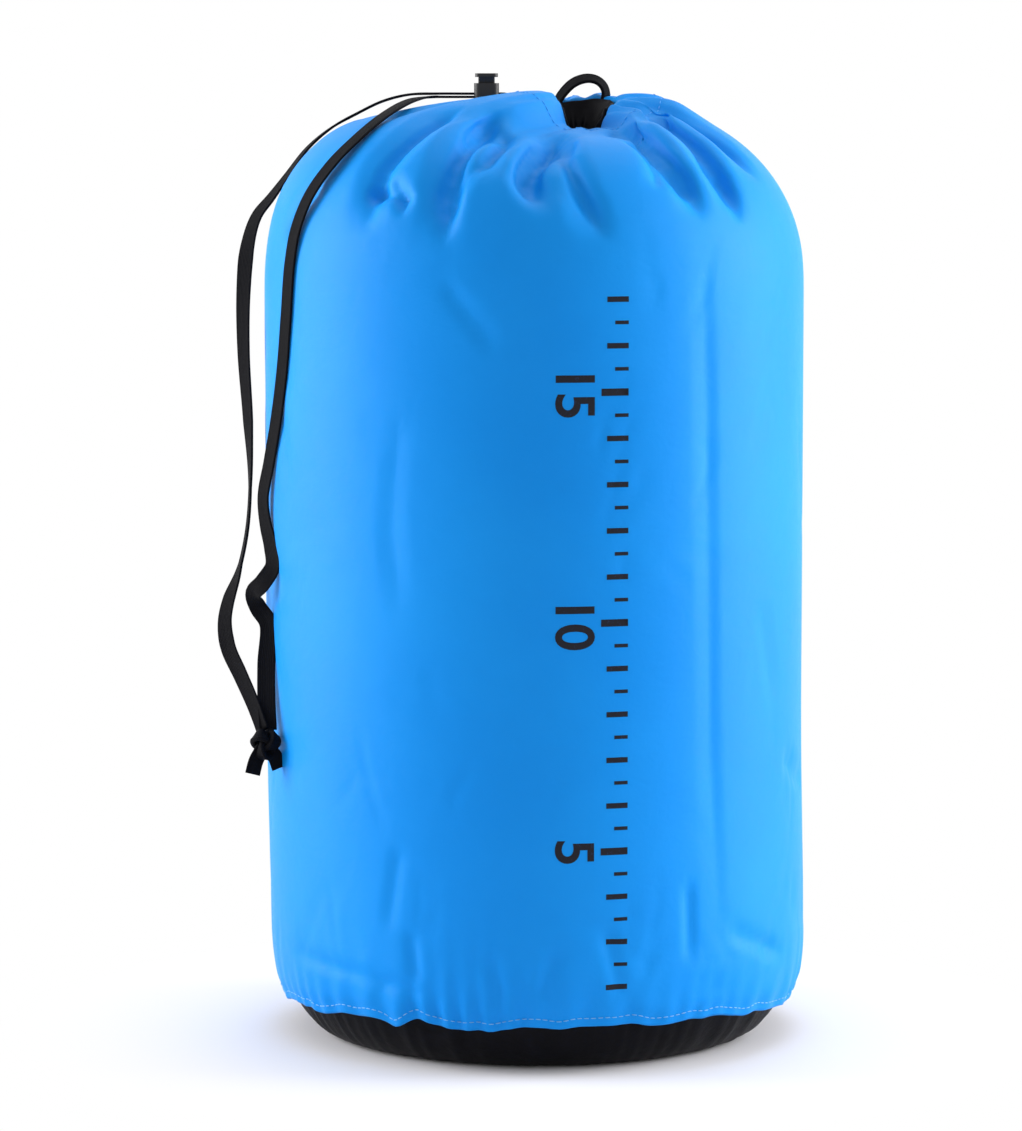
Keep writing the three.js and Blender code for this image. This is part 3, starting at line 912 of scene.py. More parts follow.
def base_cloth(sizes):
    """The black cup: its rim hides inside the blue hem, and its corner has radial creases."""
    foot, corner = sizes.foot_radius, sizes.corner_height
    reach = SACK_RADIUS - foot - 3.4 * MM
    turn = np.radians(np.linspace(64, 0, 34))
    side = np.stack([foot + reach * np.sin(turn), corner * (1 - np.cos(turn)) + 0.2 * MM], 1)
    flat = np.stack([np.linspace(foot, 1.5 * MM, 22)[1:], np.full(21, 0.2 * MM)], 1)
    line = np.concatenate([side, flat])[::-1]
    columns = 256
    grid = turned_grid(line, columns)
    angle = np.arctan2(grid[..., 1], grid[..., 0])
    radius = np.hypot(grid[..., 0], grid[..., 1])
    zone = smoothstep(radius, 84 * MM, 104 * MM) * (1 - smoothstep(grid[..., 2], 19 * MM, 27 * MM))
    rough = np.sin(angle * 37 + 2.2 * np.sin(angle * 5))
    rough = rough + 0.7 * np.sin(angle * 59 + 3 * np.sin(angle * 4 + 1))
    sharp = 1 - np.abs(rough) / 1.7
    grid[..., 0] -= np.cos(angle) * 1.3 * MM * zone * sharp
    grid[..., 1] -= np.sin(angle) * 1.3 * MM * zone * sharp
    under = (1 - smoothstep(radius, 60 * MM, 92 * MM)) * smoothstep(radius, 0, 20 * MM)
    grid[..., 2] += 0.5 * MM * under * (1 + np.sin(angle * 3) * 0.5)
    grid[..., 0] += 2 * MM * (1 - smoothstep(grid[..., 2], 20 * MM, 160 * MM))
    points = grid.reshape(-1, 3)
    centre = len(points)
    points = np.concatenate([points, [[2 * MM, 0, points[:columns, 2].mean()]]])
    faces = [tuple(f) for f in grid_faces(len(line), columns)]
    faces += [(centre, (j + 1) % columns, j) for j in range(columns)]
    uv = points[:, :2].copy()
    return new_piece("black_base_cloth", points, faces, "black", uv)


def facing_cloth(sizes):
    """The black inner ply of the channel, drawn into a puckered funnel in the mouth."""
    columns = 144
    rows = np.array(
        [
            [17.9, -7.0], [17.6, -4.4], [17.2, -3.2], [16.5, -3.4], [15.8, -5.2], [14.8, -8.5],
            [13.2, -12.5], [11.4, -17], [9.4, -22], [7.6, -27], [6, -32], [4, -36], [2.2, -38.5],
        ]
    ) * MM  # fmt: skip
    rows[:, 1] += sizes.crown
    long = run_length(rows)
    line = read_along(rows, long, np.linspace(0, long[-1], 40))
    grid = gathered(turned_grid(line[::-1], columns))
    x = grid[..., 0] - MOUTH_CENTRE.x
    angle = np.arctan2(grid[..., 1], x)
    radius = np.hypot(grid[..., 1], x)
    depth = (sizes.crown - grid[..., 2]) / (20 * MM)
    pleat = np.abs(np.sin(angle * 5.5 + 0.5 * np.sin(angle * 3 + 1))) ** 0.7
    pull = -0.34 * radius * (1 - pleat) * smoothstep(depth, 0.15, 0.8)
    grid[..., 0] += np.cos(angle) * pull
    grid[..., 1] += np.sin(angle) * pull
    points = grid.reshape(-1, 3)
    lowest = points[:columns].mean(0)
    centre = len(points)
    points = np.concatenate([points, [lowest]])
    faces = [tuple(f) for f in grid_faces(len(line), columns)]
    faces += [(centre, (j + 1) % columns, j) for j in range(columns)]
    uv = np.stack([np.append(angle.ravel(), 0) * 17 * MM, points[:, 2]], 1)
    piece = new_piece("black_mouth_facing", points, [f[::-1] for f in faces], "black", uv)
    return piece


class SACK_OT_cloth(bpy.types.Operator):
    """Makes the blue body, the black base and the mouth's black facing"""

    bl_idname = "sack.cloth"
    bl_label = "Cloth"

    def execute(self, context):
        sizes = context.scene.sack_sizes
        body = settle(body_cloth(sizes), "sack", "blue_cloth", "body_panel")
        base = settle(base_cloth(sizes), "sack", "black_cloth", "base_panel")
        facing = settle(facing_cloth(sizes), "sack", "black_cloth", "mouth_facing")
        return {"FINISHED"}


# ------------------------------------------------------------------ camera, floor and light


class SACK_OT_stage(bpy.types.Operator):
    """Places the camera, the floor, the backdrop and the lamps"""

    bl_idname = "sack.stage"
    bl_label = "Stage"

    def execute(self, context):
        camera()
        floor()
        lamps(context.scene)
        return {"FINISHED"}


def camera():
    """A long lens, level with the sack's crown and aimed at its middle."""
    wide, distance = 0.4749, 2.14
    aside, middle, eye_height = -10.7 * MM, 217.2 * MM, 436 * MM
    data = bpy.data.cameras.new("camera")
    data.sensor_fit = "HORIZONTAL"
    data.sensor_width = 36
    data.lens = 36 * distance / wide
    data.clip_end = 50
    view = bpy.data.objects.new("camera", data)
    bpy.context.scene.collection.objects.link(view)
    target = Vector((aside, 0, middle))
    eye = Vector((aside, -distance, eye_height))
    view.location = eye
    view.rotation_euler = (target - eye).to_track_quat("-Z", "Y").to_euler()
    bpy.context.scene.camera = view


def camera_ray(tree):
    """1 for what the camera sees straight, in a shiny surface or through glass."""
    path = tree.nodes.new("ShaderNodeLightPath")
    kinds = ("Is Camera Ray", "Is Glossy Ray", "Is Transmission Ray")
    seen = [Socket(tree, path.outputs[kind]) for kind in kinds]
    return (seen[0] + seen[1] + seen[2]).clamp()


def floor():
    """A wide pale floor that keeps the sack's shadow and turns plain white away from it."""
    size = 30.0
    corners = [(-size, -size, 0), (size, -size, 0), (size, size, 0), (-size, size, 0)]
    mesh = bpy.data.meshes.new("floor")
    mesh.from_pydata(corners, [], [(0, 1, 2, 3)])
    plane = bpy.data.objects.new("floor", mesh)
    bpy.context.scene.collection.objects.link(plane)
    s = Surface("pale floor", Roughness=0.9, Specular_IOR_Level=0.1)
    s.set(Base_Color=(0.84, 0.83, 0.86))
    far = s.start.node("ShaderNodeVectorMath", {"operation": "LENGTH"}, output=1, i0=s.place).ramp(0.10, 0.25)
    white = s.tree.nodes.new("ShaderNodeEmission")
    white.inputs["Strength"].default_value = 1.0
    mix = s.tree.nodes.new("ShaderNodeMixShader")
    s.tree.links.new((far * camera_ray(s.tree)).socket, mix.inputs[0])
    s.tree.links.new(s.shader.outputs[0], mix.inputs[1])
    s.tree.links.new(white.outputs[0], mix.inputs[2])
    s.tree.links.new(mix.outputs[0], s.tree.nodes["Material Output"].inputs["Surface"])
    mesh.materials.append(s.material)


def area_lamp(name, place, aim, size, power, tint=(1, 1, 1)):
    data = bpy.data.lights.new(name, "AREA")
    data.shape = "RECTANGLE"
    data.size, data.size_y = size
    data.energy = power
    data.color = tint
    lamp = bpy.data.objects.new(name, data)
    bpy.context.scene.collection.objects.link(lamp)
    lamp.location = place
    lamp.rotation_euler = (Vector(aim) - Vector(place)).to_track_quat("-Z", "Y").to_euler()


def lamps(scene):
    """A tall soft lamp at either side, and an even surround."""
    middle = (0, 0, 0.24)
    area_lamp("left lamp", (-1.45, 0.14, 0.45), middle, (0.8, 1.5), 33)
    area_lamp("right lamp", (1.45, 0.10, 0.5), middle, (0.8, 1.5), 36)
    area_lamp("top lamp", (0.25, 0.35, 1.9), middle, (0.9, 0.9), 7)
    world = bpy.data.worlds.new("surround")
    scene.world = world
    world.use_nodes = True
    tree = world.node_tree
    background = tree.nodes["Background"]
    background.inputs["Color"].default_value = (1.0, 1.0, 1.0, 1)
    tree.links.new((camera_ray(tree) * 0.32 + 0.68).socket, background.inputs["Strength"])
    scene.view_settings.view_transform = "Standard"


# ------------------------------------------------------------------ the drawcord

# The tails' routes, in metres
FRONT_TAIL = [
    (-0.0016, -0.0047, 0.4310), (-0.0023, -0.0026, 0.4307), (-0.0046, -0.0009, 0.43105),
    (-0.0088, -0.0001, 0.4330), (-0.0128, 0, 0.4347), (-0.018, 0, 0.43495), (-0.030, 0, 0.43495),
    (-0.040, 0, 0.43495), (-0.046, -0.0002, 0.43495), (-0.052, -0.006, 0.4345), (-0.0565, -0.0185, 0.4333),
    (-0.062, -0.033, 0.4306), (-0.070, -0.048, 0.4252), (-0.080, -0.060, 0.4166), (-0.091, -0.0665, 0.4054),
    (-0.101, -0.066, 0.3915), (-0.1075, -0.0625, 0.376), (-0.1105, -0.060, 0.360),
    (-0.1125, -0.0568, 0.335), (-0.1145, -0.0526, 0.312), (-0.1175, -0.046, 0.290),
    (-0.1215, -0.038, 0.268), (-0.1245, -0.033, 0.252), (-0.1235, -0.033, 0.240), (-0.121, -0.037, 0.230),
    (-0.120, -0.042, 0.221), (-0.1245, -0.042, 0.2135), (-0.129, -0.037, 0.208), (-0.127, -0.033, 0.201),
    (-0.1225, -0.0345, 0.194), (-0.1232, -0.038, 0.176), (-0.123, -0.043, 0.160), (-0.1222, -0.0465, 0.146),
]  # fmt: skip
BACK_TAIL = [
    (0.0002, 0.0098, 0.4310), (-0.0013, 0.0064, 0.43135), (-0.0031, 0.0033, 0.43205),
    (-0.0055, 0.0007, 0.43325), (-0.0094, 0, 0.43515), (-0.0132, 0, 0.43635), (-0.018, 0, 0.43645),
    (-0.030, 0, 0.43645), (-0.046, 0, 0.43645), (-0.058, 0.002, 0.436), (-0.070, 0.003, 0.433),
    (-0.082, 0.003, 0.4273), (-0.094, 0.003, 0.4206), (-0.105, 0.002, 0.4112), (-0.1145, 0.001, 0.3985),
    (-0.122, -0.001, 0.3885), (-0.1285, -0.003, 0.380), (-0.1325, -0.005, 0.367), (-0.1345, -0.007, 0.345),
    (-0.1345, -0.009, 0.318), (-0.1325, -0.011, 0.286), (-0.1315, -0.013, 0.258), (-0.133, -0.016, 0.235),
    (-0.137, -0.019, 0.216), (-0.1415, -0.021, 0.203), (-0.1432, -0.022, 0.193), (-0.1415, -0.026, 0.182),
    (-0.1355, -0.033, 0.170), (-0.1295, -0.0405, 0.158), (-0.1246, -0.046, 0.146),
]  # fmt: skip


def smooth_route(points, count):
    """A Catmull-Rom curve through the points, sampled evenly along its length."""
    p = np.array(points, dtype=float)
    p = np.concatenate([[2 * p[0] - p[1]], p, [2 * p[-1] - p[-2]]])
    fine = []
    for a, b, c, d in zip(p[:-3], p[1:-2], p[2:-1], p[3:]):
        steps = [math.sqrt(np.linalg.norm(y - x)) for x, y in ((a, b), (b, c), (c, d))]
        knots = np.concatenate([[0], np.cumsum(steps)])
        t = np.linspace(knots[1], knots[2], 24, endpoint=False)[:, None]
        t0, t1, t2, t3 = knots
        a1 = (t1 - t) / (t1 - t0) * a + (t - t0) / (t1 - t0) * b
        a2 = (t2 - t) / (t2 - t1) * b + (t - t1) / (t2 - t1) * c
        a3 = (t3 - t) / (t3 - t2) * c + (t - t2) / (t3 - t2) * d
        b1 = (t2 - t) / (t2 - t0) * a1 + (t - t0) / (t2 - t0) * a2
        b2 = (t3 - t) / (t3 - t1) * a2 + (t - t1) / (t3 - t1) * a3
        fine.append((t2 - t) / (t2 - t1) * b1 + (t - t1) / (t2 - t1) * b2)
    fine = np.concatenate([*fine, p[-2][None]])
    long = run_length(fine)
    return read_along(fine, long, np.linspace(0, long[-1], count)), long[-1]


def away_from_sack(point):
    """Straight out from the full sack's surface near a point."""
    x, y, z = point
    radius = math.hypot(x, y)
    crest_radius, crest, shoulder = 24 * MM, 433.5 * MM, 345 * MM
    across, rise = SACK_RADIUS - crest_radius, crest - shoulder
    out = max(radius - crest_radius, 0) / across
    up = max(z - shoulder, 0) / rise
    slope = out**1.6 / across / max(radius, 1e-6)
    return Vector((x * slope, y * slope, up**1.6 / rise)).normalized()


def tape(name, route, faces_to, width, thickness):
    """A flat tape along an even route; faces_to gives the way its flat side looks, for each point."""
    half, thin = width / 2, thickness / 2
    edge, shoulder = half - 0.35 * MM, half - 0.9 * MM
    outline = [
        (half, -thin * 0.45), (half, thin * 0.45), (edge, thin * 1.05), (shoulder, thin * 0.8),
        (half * 0.4, thin * 0.92), (0, thin * 0.86), (-half * 0.4, thin * 0.92), (-shoulder, thin * 0.8),
        (-edge, thin * 1.05), (-half, thin * 0.45), (-half, -thin * 0.45), (-edge, -thin * 1.05),
        (-shoulder, -thin * 0.8), (-half * 0.4, -thin * 0.92), (0, -thin * 0.86), (half * 0.4, -thin * 0.92),
        (shoulder, -thin * 0.8), (edge, -thin * 1.05),
    ]  # fmt: skip
    run = np.gradient(route, axis=0)
    long = run_length(route)
    points, uv = [], []
    for i, place in enumerate(route):
        ahead = Vector(run[i]).normalized()
        across = ahead.cross(faces_to(i)).normalized()
        out = across.cross(ahead)
        for a, b in outline:
            points.append(Vector(place) + across * a + out * b)
            uv.append((a, long[i]))
    n = len(outline)
    faces = []
    for i in range(len(route) - 1):
        for j in range(n):
            k = (j + 1) % n
            faces.append((i * n + j, i * n + k, (i + 1) * n + k, (i + 1) * n + j))
    faces.append(tuple(range(n))[::-1])
    last = (len(route) - 1) * n
    faces.append(tuple(last + j for j in range(n)))
    return outward_faces(new_piece(name, points, faces, "tape", uv))


def outward_faces(piece):
    bm = bmesh.new()
    bm.from_mesh(piece.data)
    bmesh.ops.recalc_face_normals(bm, faces=bm.faces)
    bm.to_mesh(piece.data)
    bm.free()
    return piece


def tail(name, points, twist, node, sizes):
    """A hanging tail; twist gives heights with how far its flat side turns to the front there."""
    count = 260
    route, length = smooth_route(points, count)
    heights, shares = np.array(twist).T

    def faces_to(i):
        share = float(np.interp(route[i][2], heights, shares))
        if route[i][0] > -60 * MM:
            share = 0.0
        return away_from_sack(route[i]).lerp(Vector((0, -1, 0.1)), share)

    piece = tape(name, route, faces_to, sizes.tape_width, sizes.tape_thickness)
    settle(piece, "sack", "black_tape", node)
    return piece


def knot_piece(sizes):
    """An overhand knot in both tapes, pulled tight, and the two cut ends below it."""
    centre = (knot_low + knot_high) / 2
    top = knot_high.z
    middle = Vector((centre.x, centre.y, top - 5.4 * MM))
    t = np.linspace(0, 2 * math.pi * 0.985, 150)
    x = (np.sin(t) + 2 * np.sin(2 * t)) * 1.75
    z = (np.cos(t) - 2 * np.cos(2 * t)) * 2.15
    y = -np.sin(3 * t) * 2.6
    route = np.stack([x, y, z], 1) * MM + np.array(middle)
    piece = tape(
        "drawcord_knot_wrap",
        route,
        lambda i: Vector(route[i]) - middle + Vector((0, 0.001 * MM, 0)),
        6.2 * MM,
        2.4 * MM,
    )
    parts = [piece]
    for side, fall in ((-1, Vector((-5.2, -1.5, -12.5))), (1, Vector((5.4, 1.0, -10.0)))):
        start = middle + Vector((0.8 * MM * side, 0, -1.5 * MM))
        end = start + fall * MM
        bend = start.lerp(end, 0.5) + Vector((0.9 * MM * side, 0, 0))
        line, _ = smooth_route([start, bend, end], 16)
        parts.append(
            tape(f"end_{side}", line, lambda i, s=side: Vector((0.35, -1, 0.2 * s)), 7.2 * MM, 1.1 * MM)
        )
    return joined(parts, "drawcord_knot_tied")


def joined(parts, name):
    """Joins meshes that share a material into one piece."""
    target = bmesh.new()
    for part in parts:
        target.from_mesh(part.data)
    mesh = bpy.data.meshes.new(name)
    target.to_mesh(mesh)
    target.free()
    for material in parts[0].data.materials:
        mesh.materials.append(material)
    piece = bpy.data.objects.new(name, mesh)
    bpy.context.scene.collection.objects.link(piece)
    for part in parts:
        bpy.data.objects.remove(part)
    mesh.shade_smooth()
    return piece


class SACK_OT_drawcord(bpy.types.Operator):
    """Makes the two hanging tails of the drawcord and the knot that joins them"""

    bl_idname = "sack.drawcord"
    bl_label = "Drawcord"

    def execute(self, context):
        sizes = context.scene.sack_sizes
        front = [(0.15, 0.9), (0.20, 0.75), (0.24, 0.35), (0.33, 0.15), (0.40, 0.0)]
        back = [
            (0.15, 0.35), (0.185, 0.6), (0.205, 0.4), (0.22, 0.06), (0.255, 0.03), (0.285, 0.35), (0.36, 0.6),
            (0.425, 0.0),
        ]  # fmt: skip
        knot = knot_piece(sizes)
        settle(knot, "sack", "black_tape", "drawcord_knot")
        tail("drawcord_front_tail", FRONT_TAIL, front, "drawcord_tail_front", sizes)
        tail("drawcord_back_tail", BACK_TAIL, back, "drawcord_tail_back", sizes)
        return {"FINISHED"}


# ------------------------------------------------------------------ repeated things

# Rays that look for the cloth start this far out from the axis, or this high
OUTSIDE = 0.16
ABOVE = 0.5
STITCH_LIFT = 0.12 * MM


def copies_tree():
    """Places copies of an object along a line, evenly, each slightly different in size."""
    tree = bpy.data.node_groups.new("copies along a line", "GeometryNodeTree")
    for name, kind in (
        ("Line", "NodeSocketGeometry"), ("Copy", "NodeSocketObject"), ("Spacing", "NodeSocketFloat"),
        ("Variation", "NodeSocketFloat"), ("Finish", "NodeSocketMaterial"),
    ):  # fmt: skip
        tree.interface.new_socket(name, in_out="INPUT", socket_type=kind)
    tree.interface.new_socket("Copies", in_out="OUTPUT", socket_type="NodeSocketGeometry")

    def node(kind, **settings):
        made = tree.nodes.new(kind)
        for key, value in settings.items():
            setattr(made, key, value)
        return made

    given = node("NodeGroupInput")
    out = node("NodeGroupOutput")
    line = node("GeometryNodeMeshToCurve")
    even = node("GeometryNodeResampleCurve", mode="LENGTH")
    tangent = node("GeometryNodeInputTangent")
    turned = node("FunctionNodeAlignRotationToVector", axis="Z")
    source = node("GeometryNodeObjectInfo")
    change = node("FunctionNodeRandomValue", data_type="FLOAT")
    change.inputs["Seed"].default_value = 5
    least = node("ShaderNodeMath", operation="SUBTRACT")
    least.inputs[0].default_value = 1
    place = node("GeometryNodeInstanceOnPoints")
    real = node("GeometryNodeRealizeInstances")
    finish = node("GeometryNodeSetMaterial")
    join = tree.links.new
    join(given.outputs["Line"], line.inputs[0])
    join(line.outputs[0], even.inputs["Curve"])
    join(given.outputs["Spacing"], even.inputs["Length"])
    join(given.outputs["Copy"], source.inputs[0])
    join(tangent.outputs[0], turned.inputs["Vector"])
    join(given.outputs["Variation"], least.inputs[1])
    join(least.outputs[0], change.inputs[2])
    change.inputs[3].default_value = 1
    join(even.outputs[0], place.inputs["Points"])
    join(source.outputs["Geometry"], place.inputs["Instance"])
    join(turned.outputs[0], place.inputs["Rotation"])
    join(change.outputs[1], place.inputs["Scale"])
    join(place.outputs[0], real.inputs[0])
    join(real.outputs[0], finish.inputs["Geometry"])
    join(given.outputs["Finish"], finish.inputs["Material"])
    join(finish.outputs[0], out.inputs[0])
    return tree


def copies(name, lines, copy, spacing, material, variation=0.0):
    """Copies of an object along one or more lines of points, as one plain mesh."""
    points, edges = [], []
    for line in lines:
        first = len(points)
        points += [tuple(p) for p in line]
        edges += [(first + i, first + i + 1) for i in range(len(line) - 1)]
    mesh = bpy.data.meshes.new(name)
    mesh.from_pydata(points, edges, [])
    piece = bpy.data.objects.new(name, mesh)
    bpy.context.scene.collection.objects.link(piece)
    tree = bpy.data.node_groups.get("copies along a line") or copies_tree()
    modifier = piece.modifiers.new("copies", "NODES")
    modifier.node_group = tree
    values = {"Copy": copy, "Spacing": spacing, "Variation": variation, "Finish": finish_named(material)}
    for item in tree.interface.items_tree:
        if item.in_out == "INPUT" and item.name in values:
            modifier[item.identifier] = values[item.name]
    applied(piece)
    if not piece.data.polygons:
        raise RuntimeError(name + " has no copies")
    piece.data.shade_smooth()
    return piece


def drop(piece):
    mesh = piece.data
    bpy.data.objects.remove(piece)
    bpy.data.meshes.remove(mesh)


def one_stitch(length, thick):
    """A stitch: a short rounded grain of thread lying along Z."""
    rings = [(-0.5, 0.25), (-0.36, 0.85), (0, 1.0), (0.36, 0.85), (0.5, 0.25)]
    sides = 6
    points = []
    for along, size in rings:
        for j in range(sides):
            turn = j / sides * 2 * math.pi
            wide = thick / 2 * size
            points.append((wide * math.cos(turn), wide * math.sin(turn), length * along))
    faces = [tuple(f) for f in grid_faces(len(rings), sides)]
    faces += [tuple(range(sides))[::-1], tuple(range(len(points) - sides, len(points)))]
    return new_piece("one_stitch", points, faces, "thread")


def cast(tree, start, way, stand=0.0):
    """Where a ray meets the cloth, lifted off it by stand."""
    for aside in (0, 0.02 * MM, -0.03 * MM):
        beside = Vector(start) + Vector((aside, aside, aside))
        hit, normal, _, _ = tree.ray_cast(beside, Vector(way).normalized(), 1.0)
        if hit is not None:
            break
    else:
        raise RuntimeError("a line of stitches misses the cloth")
    if normal.dot(Vector(way)) > 0:
        normal = -normal
    return hit + normal * stand


class SACK_OT_stitches(bpy.types.Operator):
    """Sews the hem, the mouth's channel and the side seam"""

    bl_idname = "sack.stitches"
    bl_label = "Stitches"

    def execute(self, context):
        sizes = context.scene.sack_sizes
        cloth = surface_tree(bpy.data.objects["blue_body_cloth"])
        stitch = one_stitch(sizes.stitch_length, 0.5 * MM)
        hem = []
        for turn in np.linspace(0, 2 * math.pi, 361):
            height = float(hem_height(sizes, turn)) + STITCH_RISE
            way = Vector((math.cos(turn), math.sin(turn), 0))
            hem.append(cast(cloth, way * OUTSIDE + Vector((0, 0, height)), -way, STITCH_LIFT))
        spacing = sizes.stitch_length * 1.28
        piece = copies("base_hem_stitches", [hem], stitch, spacing, "thread", 0.12)
        settle(piece, "sack", "thread", "base_hem_stitch")
        channel = []
        for turn in np.linspace(math.radians(196), math.radians(524), 260):
            over = MOUTH_CENTRE + Vector((math.cos(turn), math.sin(turn), 0)) * 39 * MM
            channel.append(cast(cloth, over + Vector((0, 0, ABOVE)), (0, 0, -1), STITCH_LIFT))
        piece = copies("mouth_channel_stitches", [channel], stitch, spacing, "channel_thread", 0.12)
        settle(piece, "sack", "thread", "channel_stitch")
        for side, node in ((-1, "side_seam_stitch_left"), (1, "side_seam_stitch_right")):
            turn = SEAM_TURN + side * 3 * MM / SACK_RADIUS
            way = Vector((math.cos(turn), math.sin(turn), 0))
            heights = np.linspace(0.030, 0.352, 150)
            row = [cast(cloth, way * OUTSIDE + Vector((0, 0, z)), -way, STITCH_LIFT) for z in heights]
            name = "side_seam_stitches_" + ("left" if side < 0 else "right")
            settle(copies(name, [row], stitch, spacing, "channel_thread", 0.12), "sack", "thread", node)
        drop(stitch)
        return {"FINISHED"}


# ------------------------------------------------------------------ the printed scale

LITRE = 20.4 * MM
SCALE_LEFT, SCALE_RIGHT = 9 * MM, 41 * MM


def tick(width, height):
    """A flat bar with its right end on X = 0, cut into short cells so that it bends with the cloth."""
    across = max(2, round(width / (1.6 * MM)))
    xs = np.linspace(-width, 0, across + 1)
    points = [(x, 0, z) for z in (-height / 2, 0, height / 2) for x in xs]
    faces = grid_faces(3, across + 1, closed=False)
    return new_piece("tick", points, faces, "ink", smooth=False)


def figure(text, size, middle):
    """Plain figures, read from top to bottom, cut into narrow strips so that they bend with the cloth."""
    data = bpy.data.curves.new("figure_" + text, "FONT")
    data.body = text
    data.size = size
    data.align_x = "CENTER"
    data.align_y = "CENTER"
    data.offset = size * 0.018
    data.resolution_u = 6
    shape = bpy.data.objects.new("figure_" + text, data)
    bpy.context.scene.collection.objects.link(shape)
    mesh = bpy.data.meshes.new_from_object(shape.evaluated_get(bpy.context.evaluated_depsgraph_get()))
    bpy.data.objects.remove(shape)
    bm = bmesh.new()
    bm.from_mesh(mesh)
    bpy.data.meshes.remove(mesh)
    upright = Matrix(((0, 1, 0, 0), (0, 0, 1, 0), (-1, 0, 0, 0), (0, 0, 0, 1)))
    bmesh.ops.transform(bm, matrix=Matrix.Translation(middle) @ upright, verts=bm.verts)
    for axis in (0, 2):
        low = min(v.co[axis] for v in bm.verts)
        high = max(v.co[axis] for v in bm.verts)
        normal = Vector((1, 0, 0)) if axis == 0 else Vector((0, 0, 1))
        for at in np.arange(low + 2 * MM, high, 2 * MM):
            whole = bm.verts[:] + bm.edges[:] + bm.faces[:]
            bmesh.ops.bisect_plane(bm, geom=whole, plane_co=normal * float(at), plane_no=normal)
    bmesh.ops.triangulate(bm, faces=bm.faces)
    made = bpy.data.meshes.new("figure_" + text)
    bm.to_mesh(made)
    bm.free()
    piece = bpy.data.objects.new("figure_" + text, made)
    bpy.context.scene.collection.objects.link(piece)
    made.materials.append(finish_named("ink"))
    return piece


class SACK_OT_scale(bpy.types.Operator):
    """Prints a plain fill scale in litres on the front"""

    bl_idname = "sack.scale"
    bl_label = "Fill scale"

    def execute(self, context):
        cloth = surface_tree(bpy.data.objects["blue_body_cloth"])
        parts = []
        for name, width, height, low, high, step in (
            ("long", 12 * MM, 3.2 * MM, 5, 15, 5),
            ("middle", 9.5 * MM, 2.4 * MM, 2, 17, 1),
            ("short", 6 * MM, 1.6 * MM, 2.5, 16.5, 1),
        ):
            bar = tick(width, height)
            line = [(SCALE_RIGHT, 0, low * LITRE), (SCALE_RIGHT, 0, high * LITRE)]
            parts.append(copies("ticks_" + name, [line], bar, step * LITRE * 0.999, "ink"))
            drop(bar)
        for litres in (5, 10, 15):
            place = Vector((SCALE_LEFT + 7.5 * MM, 0, litres * LITRE))
            parts.append(figure(str(litres), 24 * MM, place))
        piece = joined(parts, "fill_scale_print")
        points = points_of(piece)
        for i, (x, _, z) in enumerate(points):
            points[i] = cast(cloth, (x, -OUTSIDE, z), (0, 1, 0), 0.10 * MM)
        move_points(piece, points)
        face_front(piece)
        piece.data.shade_smooth()
        settle(piece, "sack", "blue_cloth")
        return {"FINISHED"}


def face_front(piece):
    """Turns every face that looks into the sack."""
    bm = bmesh.new()
    bm.from_mesh(piece.data)
    bmesh.ops.remove_doubles(bm, verts=bm.verts, dist=0.01 * MM)
    bm.normal_update()
    bmesh.ops.reverse_faces(bm, faces=[f for f in bm.faces if f.normal.y > 0])
    bm.to_mesh(piece.data)
    bm.free()


# ------------------------------------------------------------------ ring, cord lock and hang loop


def channel_tape(sizes):
    """The stretch of drawcord inside the channel, round the mouth."""
    turns = np.radians(np.linspace(202, 516, 180))
    around = np.stack([np.cos(turns), np.sin(turns), np.zeros_like(turns)], 1) * 24.2 * MM
    route = around[None].copy()
    route[..., 2] += sizes.crown
    route = gathered(route)[0]
    route[:, 2] -= 4.4 * MM
    upwards = Vector((0, 0, 1))
    return tape("drawcord_channel_tape", route, lambda i: upwards, sizes.tape_width, sizes.tape_thickness)


def buttonhole():
    """A sewn oval round the opening that the tape leaves by."""
    cloth = surface_tree(bpy.data.objects["blue_body_cloth"])
    lines = []
    for grow in (0, 1.1 * MM):
        line = []
        for turn in np.linspace(0, 2 * math.pi, 73):
            x = -8.2 * MM + (5.4 * MM + grow) * math.cos(turn)
            y = (5.6 * MM + grow) * math.sin(turn)
            over = Vector((x, y, ABOVE))
            line.append(cast(cloth, over, (0, 0, -1), 0.15 * MM))
        lines.append(line)
    stitch = one_stitch(0.75 * MM, 1.5 * MM)
    piece = copies("buttonhole_stitches", lines, stitch, 0.62 * MM, "black_thread", 0.15)
    drop(stitch)
    return piece


def bevelled(node, name, width):
    """A copy of a frame node with its hard edges rounded."""
    bm = bmesh.new()
    bm.from_mesh(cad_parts[node].data)
    bmesh.ops.remove_doubles(bm, verts=bm.verts, dist=0.01 * MM)
    bmesh.ops.dissolve_limit(bm, angle_limit=math.radians(2), verts=bm.verts, edges=bm.edges)
    mesh = bpy.data.meshes.new(name)
    bm.to_mesh(mesh)
    bm.free()
    piece = bpy.data.objects.new(name, mesh)
    bpy.context.scene.collection.objects.link(piece)
    mesh.materials.append(finish_named("plastic"))
    round_over = piece.modifiers.new("round", "BEVEL")
    round_over.width = width
    round_over.segments = 3
    round_over.limit_method = "ANGLE"
    round_over.angle_limit = math.radians(50)
    round_over.harden_normals = False
    applied(piece)
    for polygon in piece.data.polygons:
        polygon.use_smooth = True
    piece.data.set_sharp_from_angle(angle=math.radians(35))
    return piece


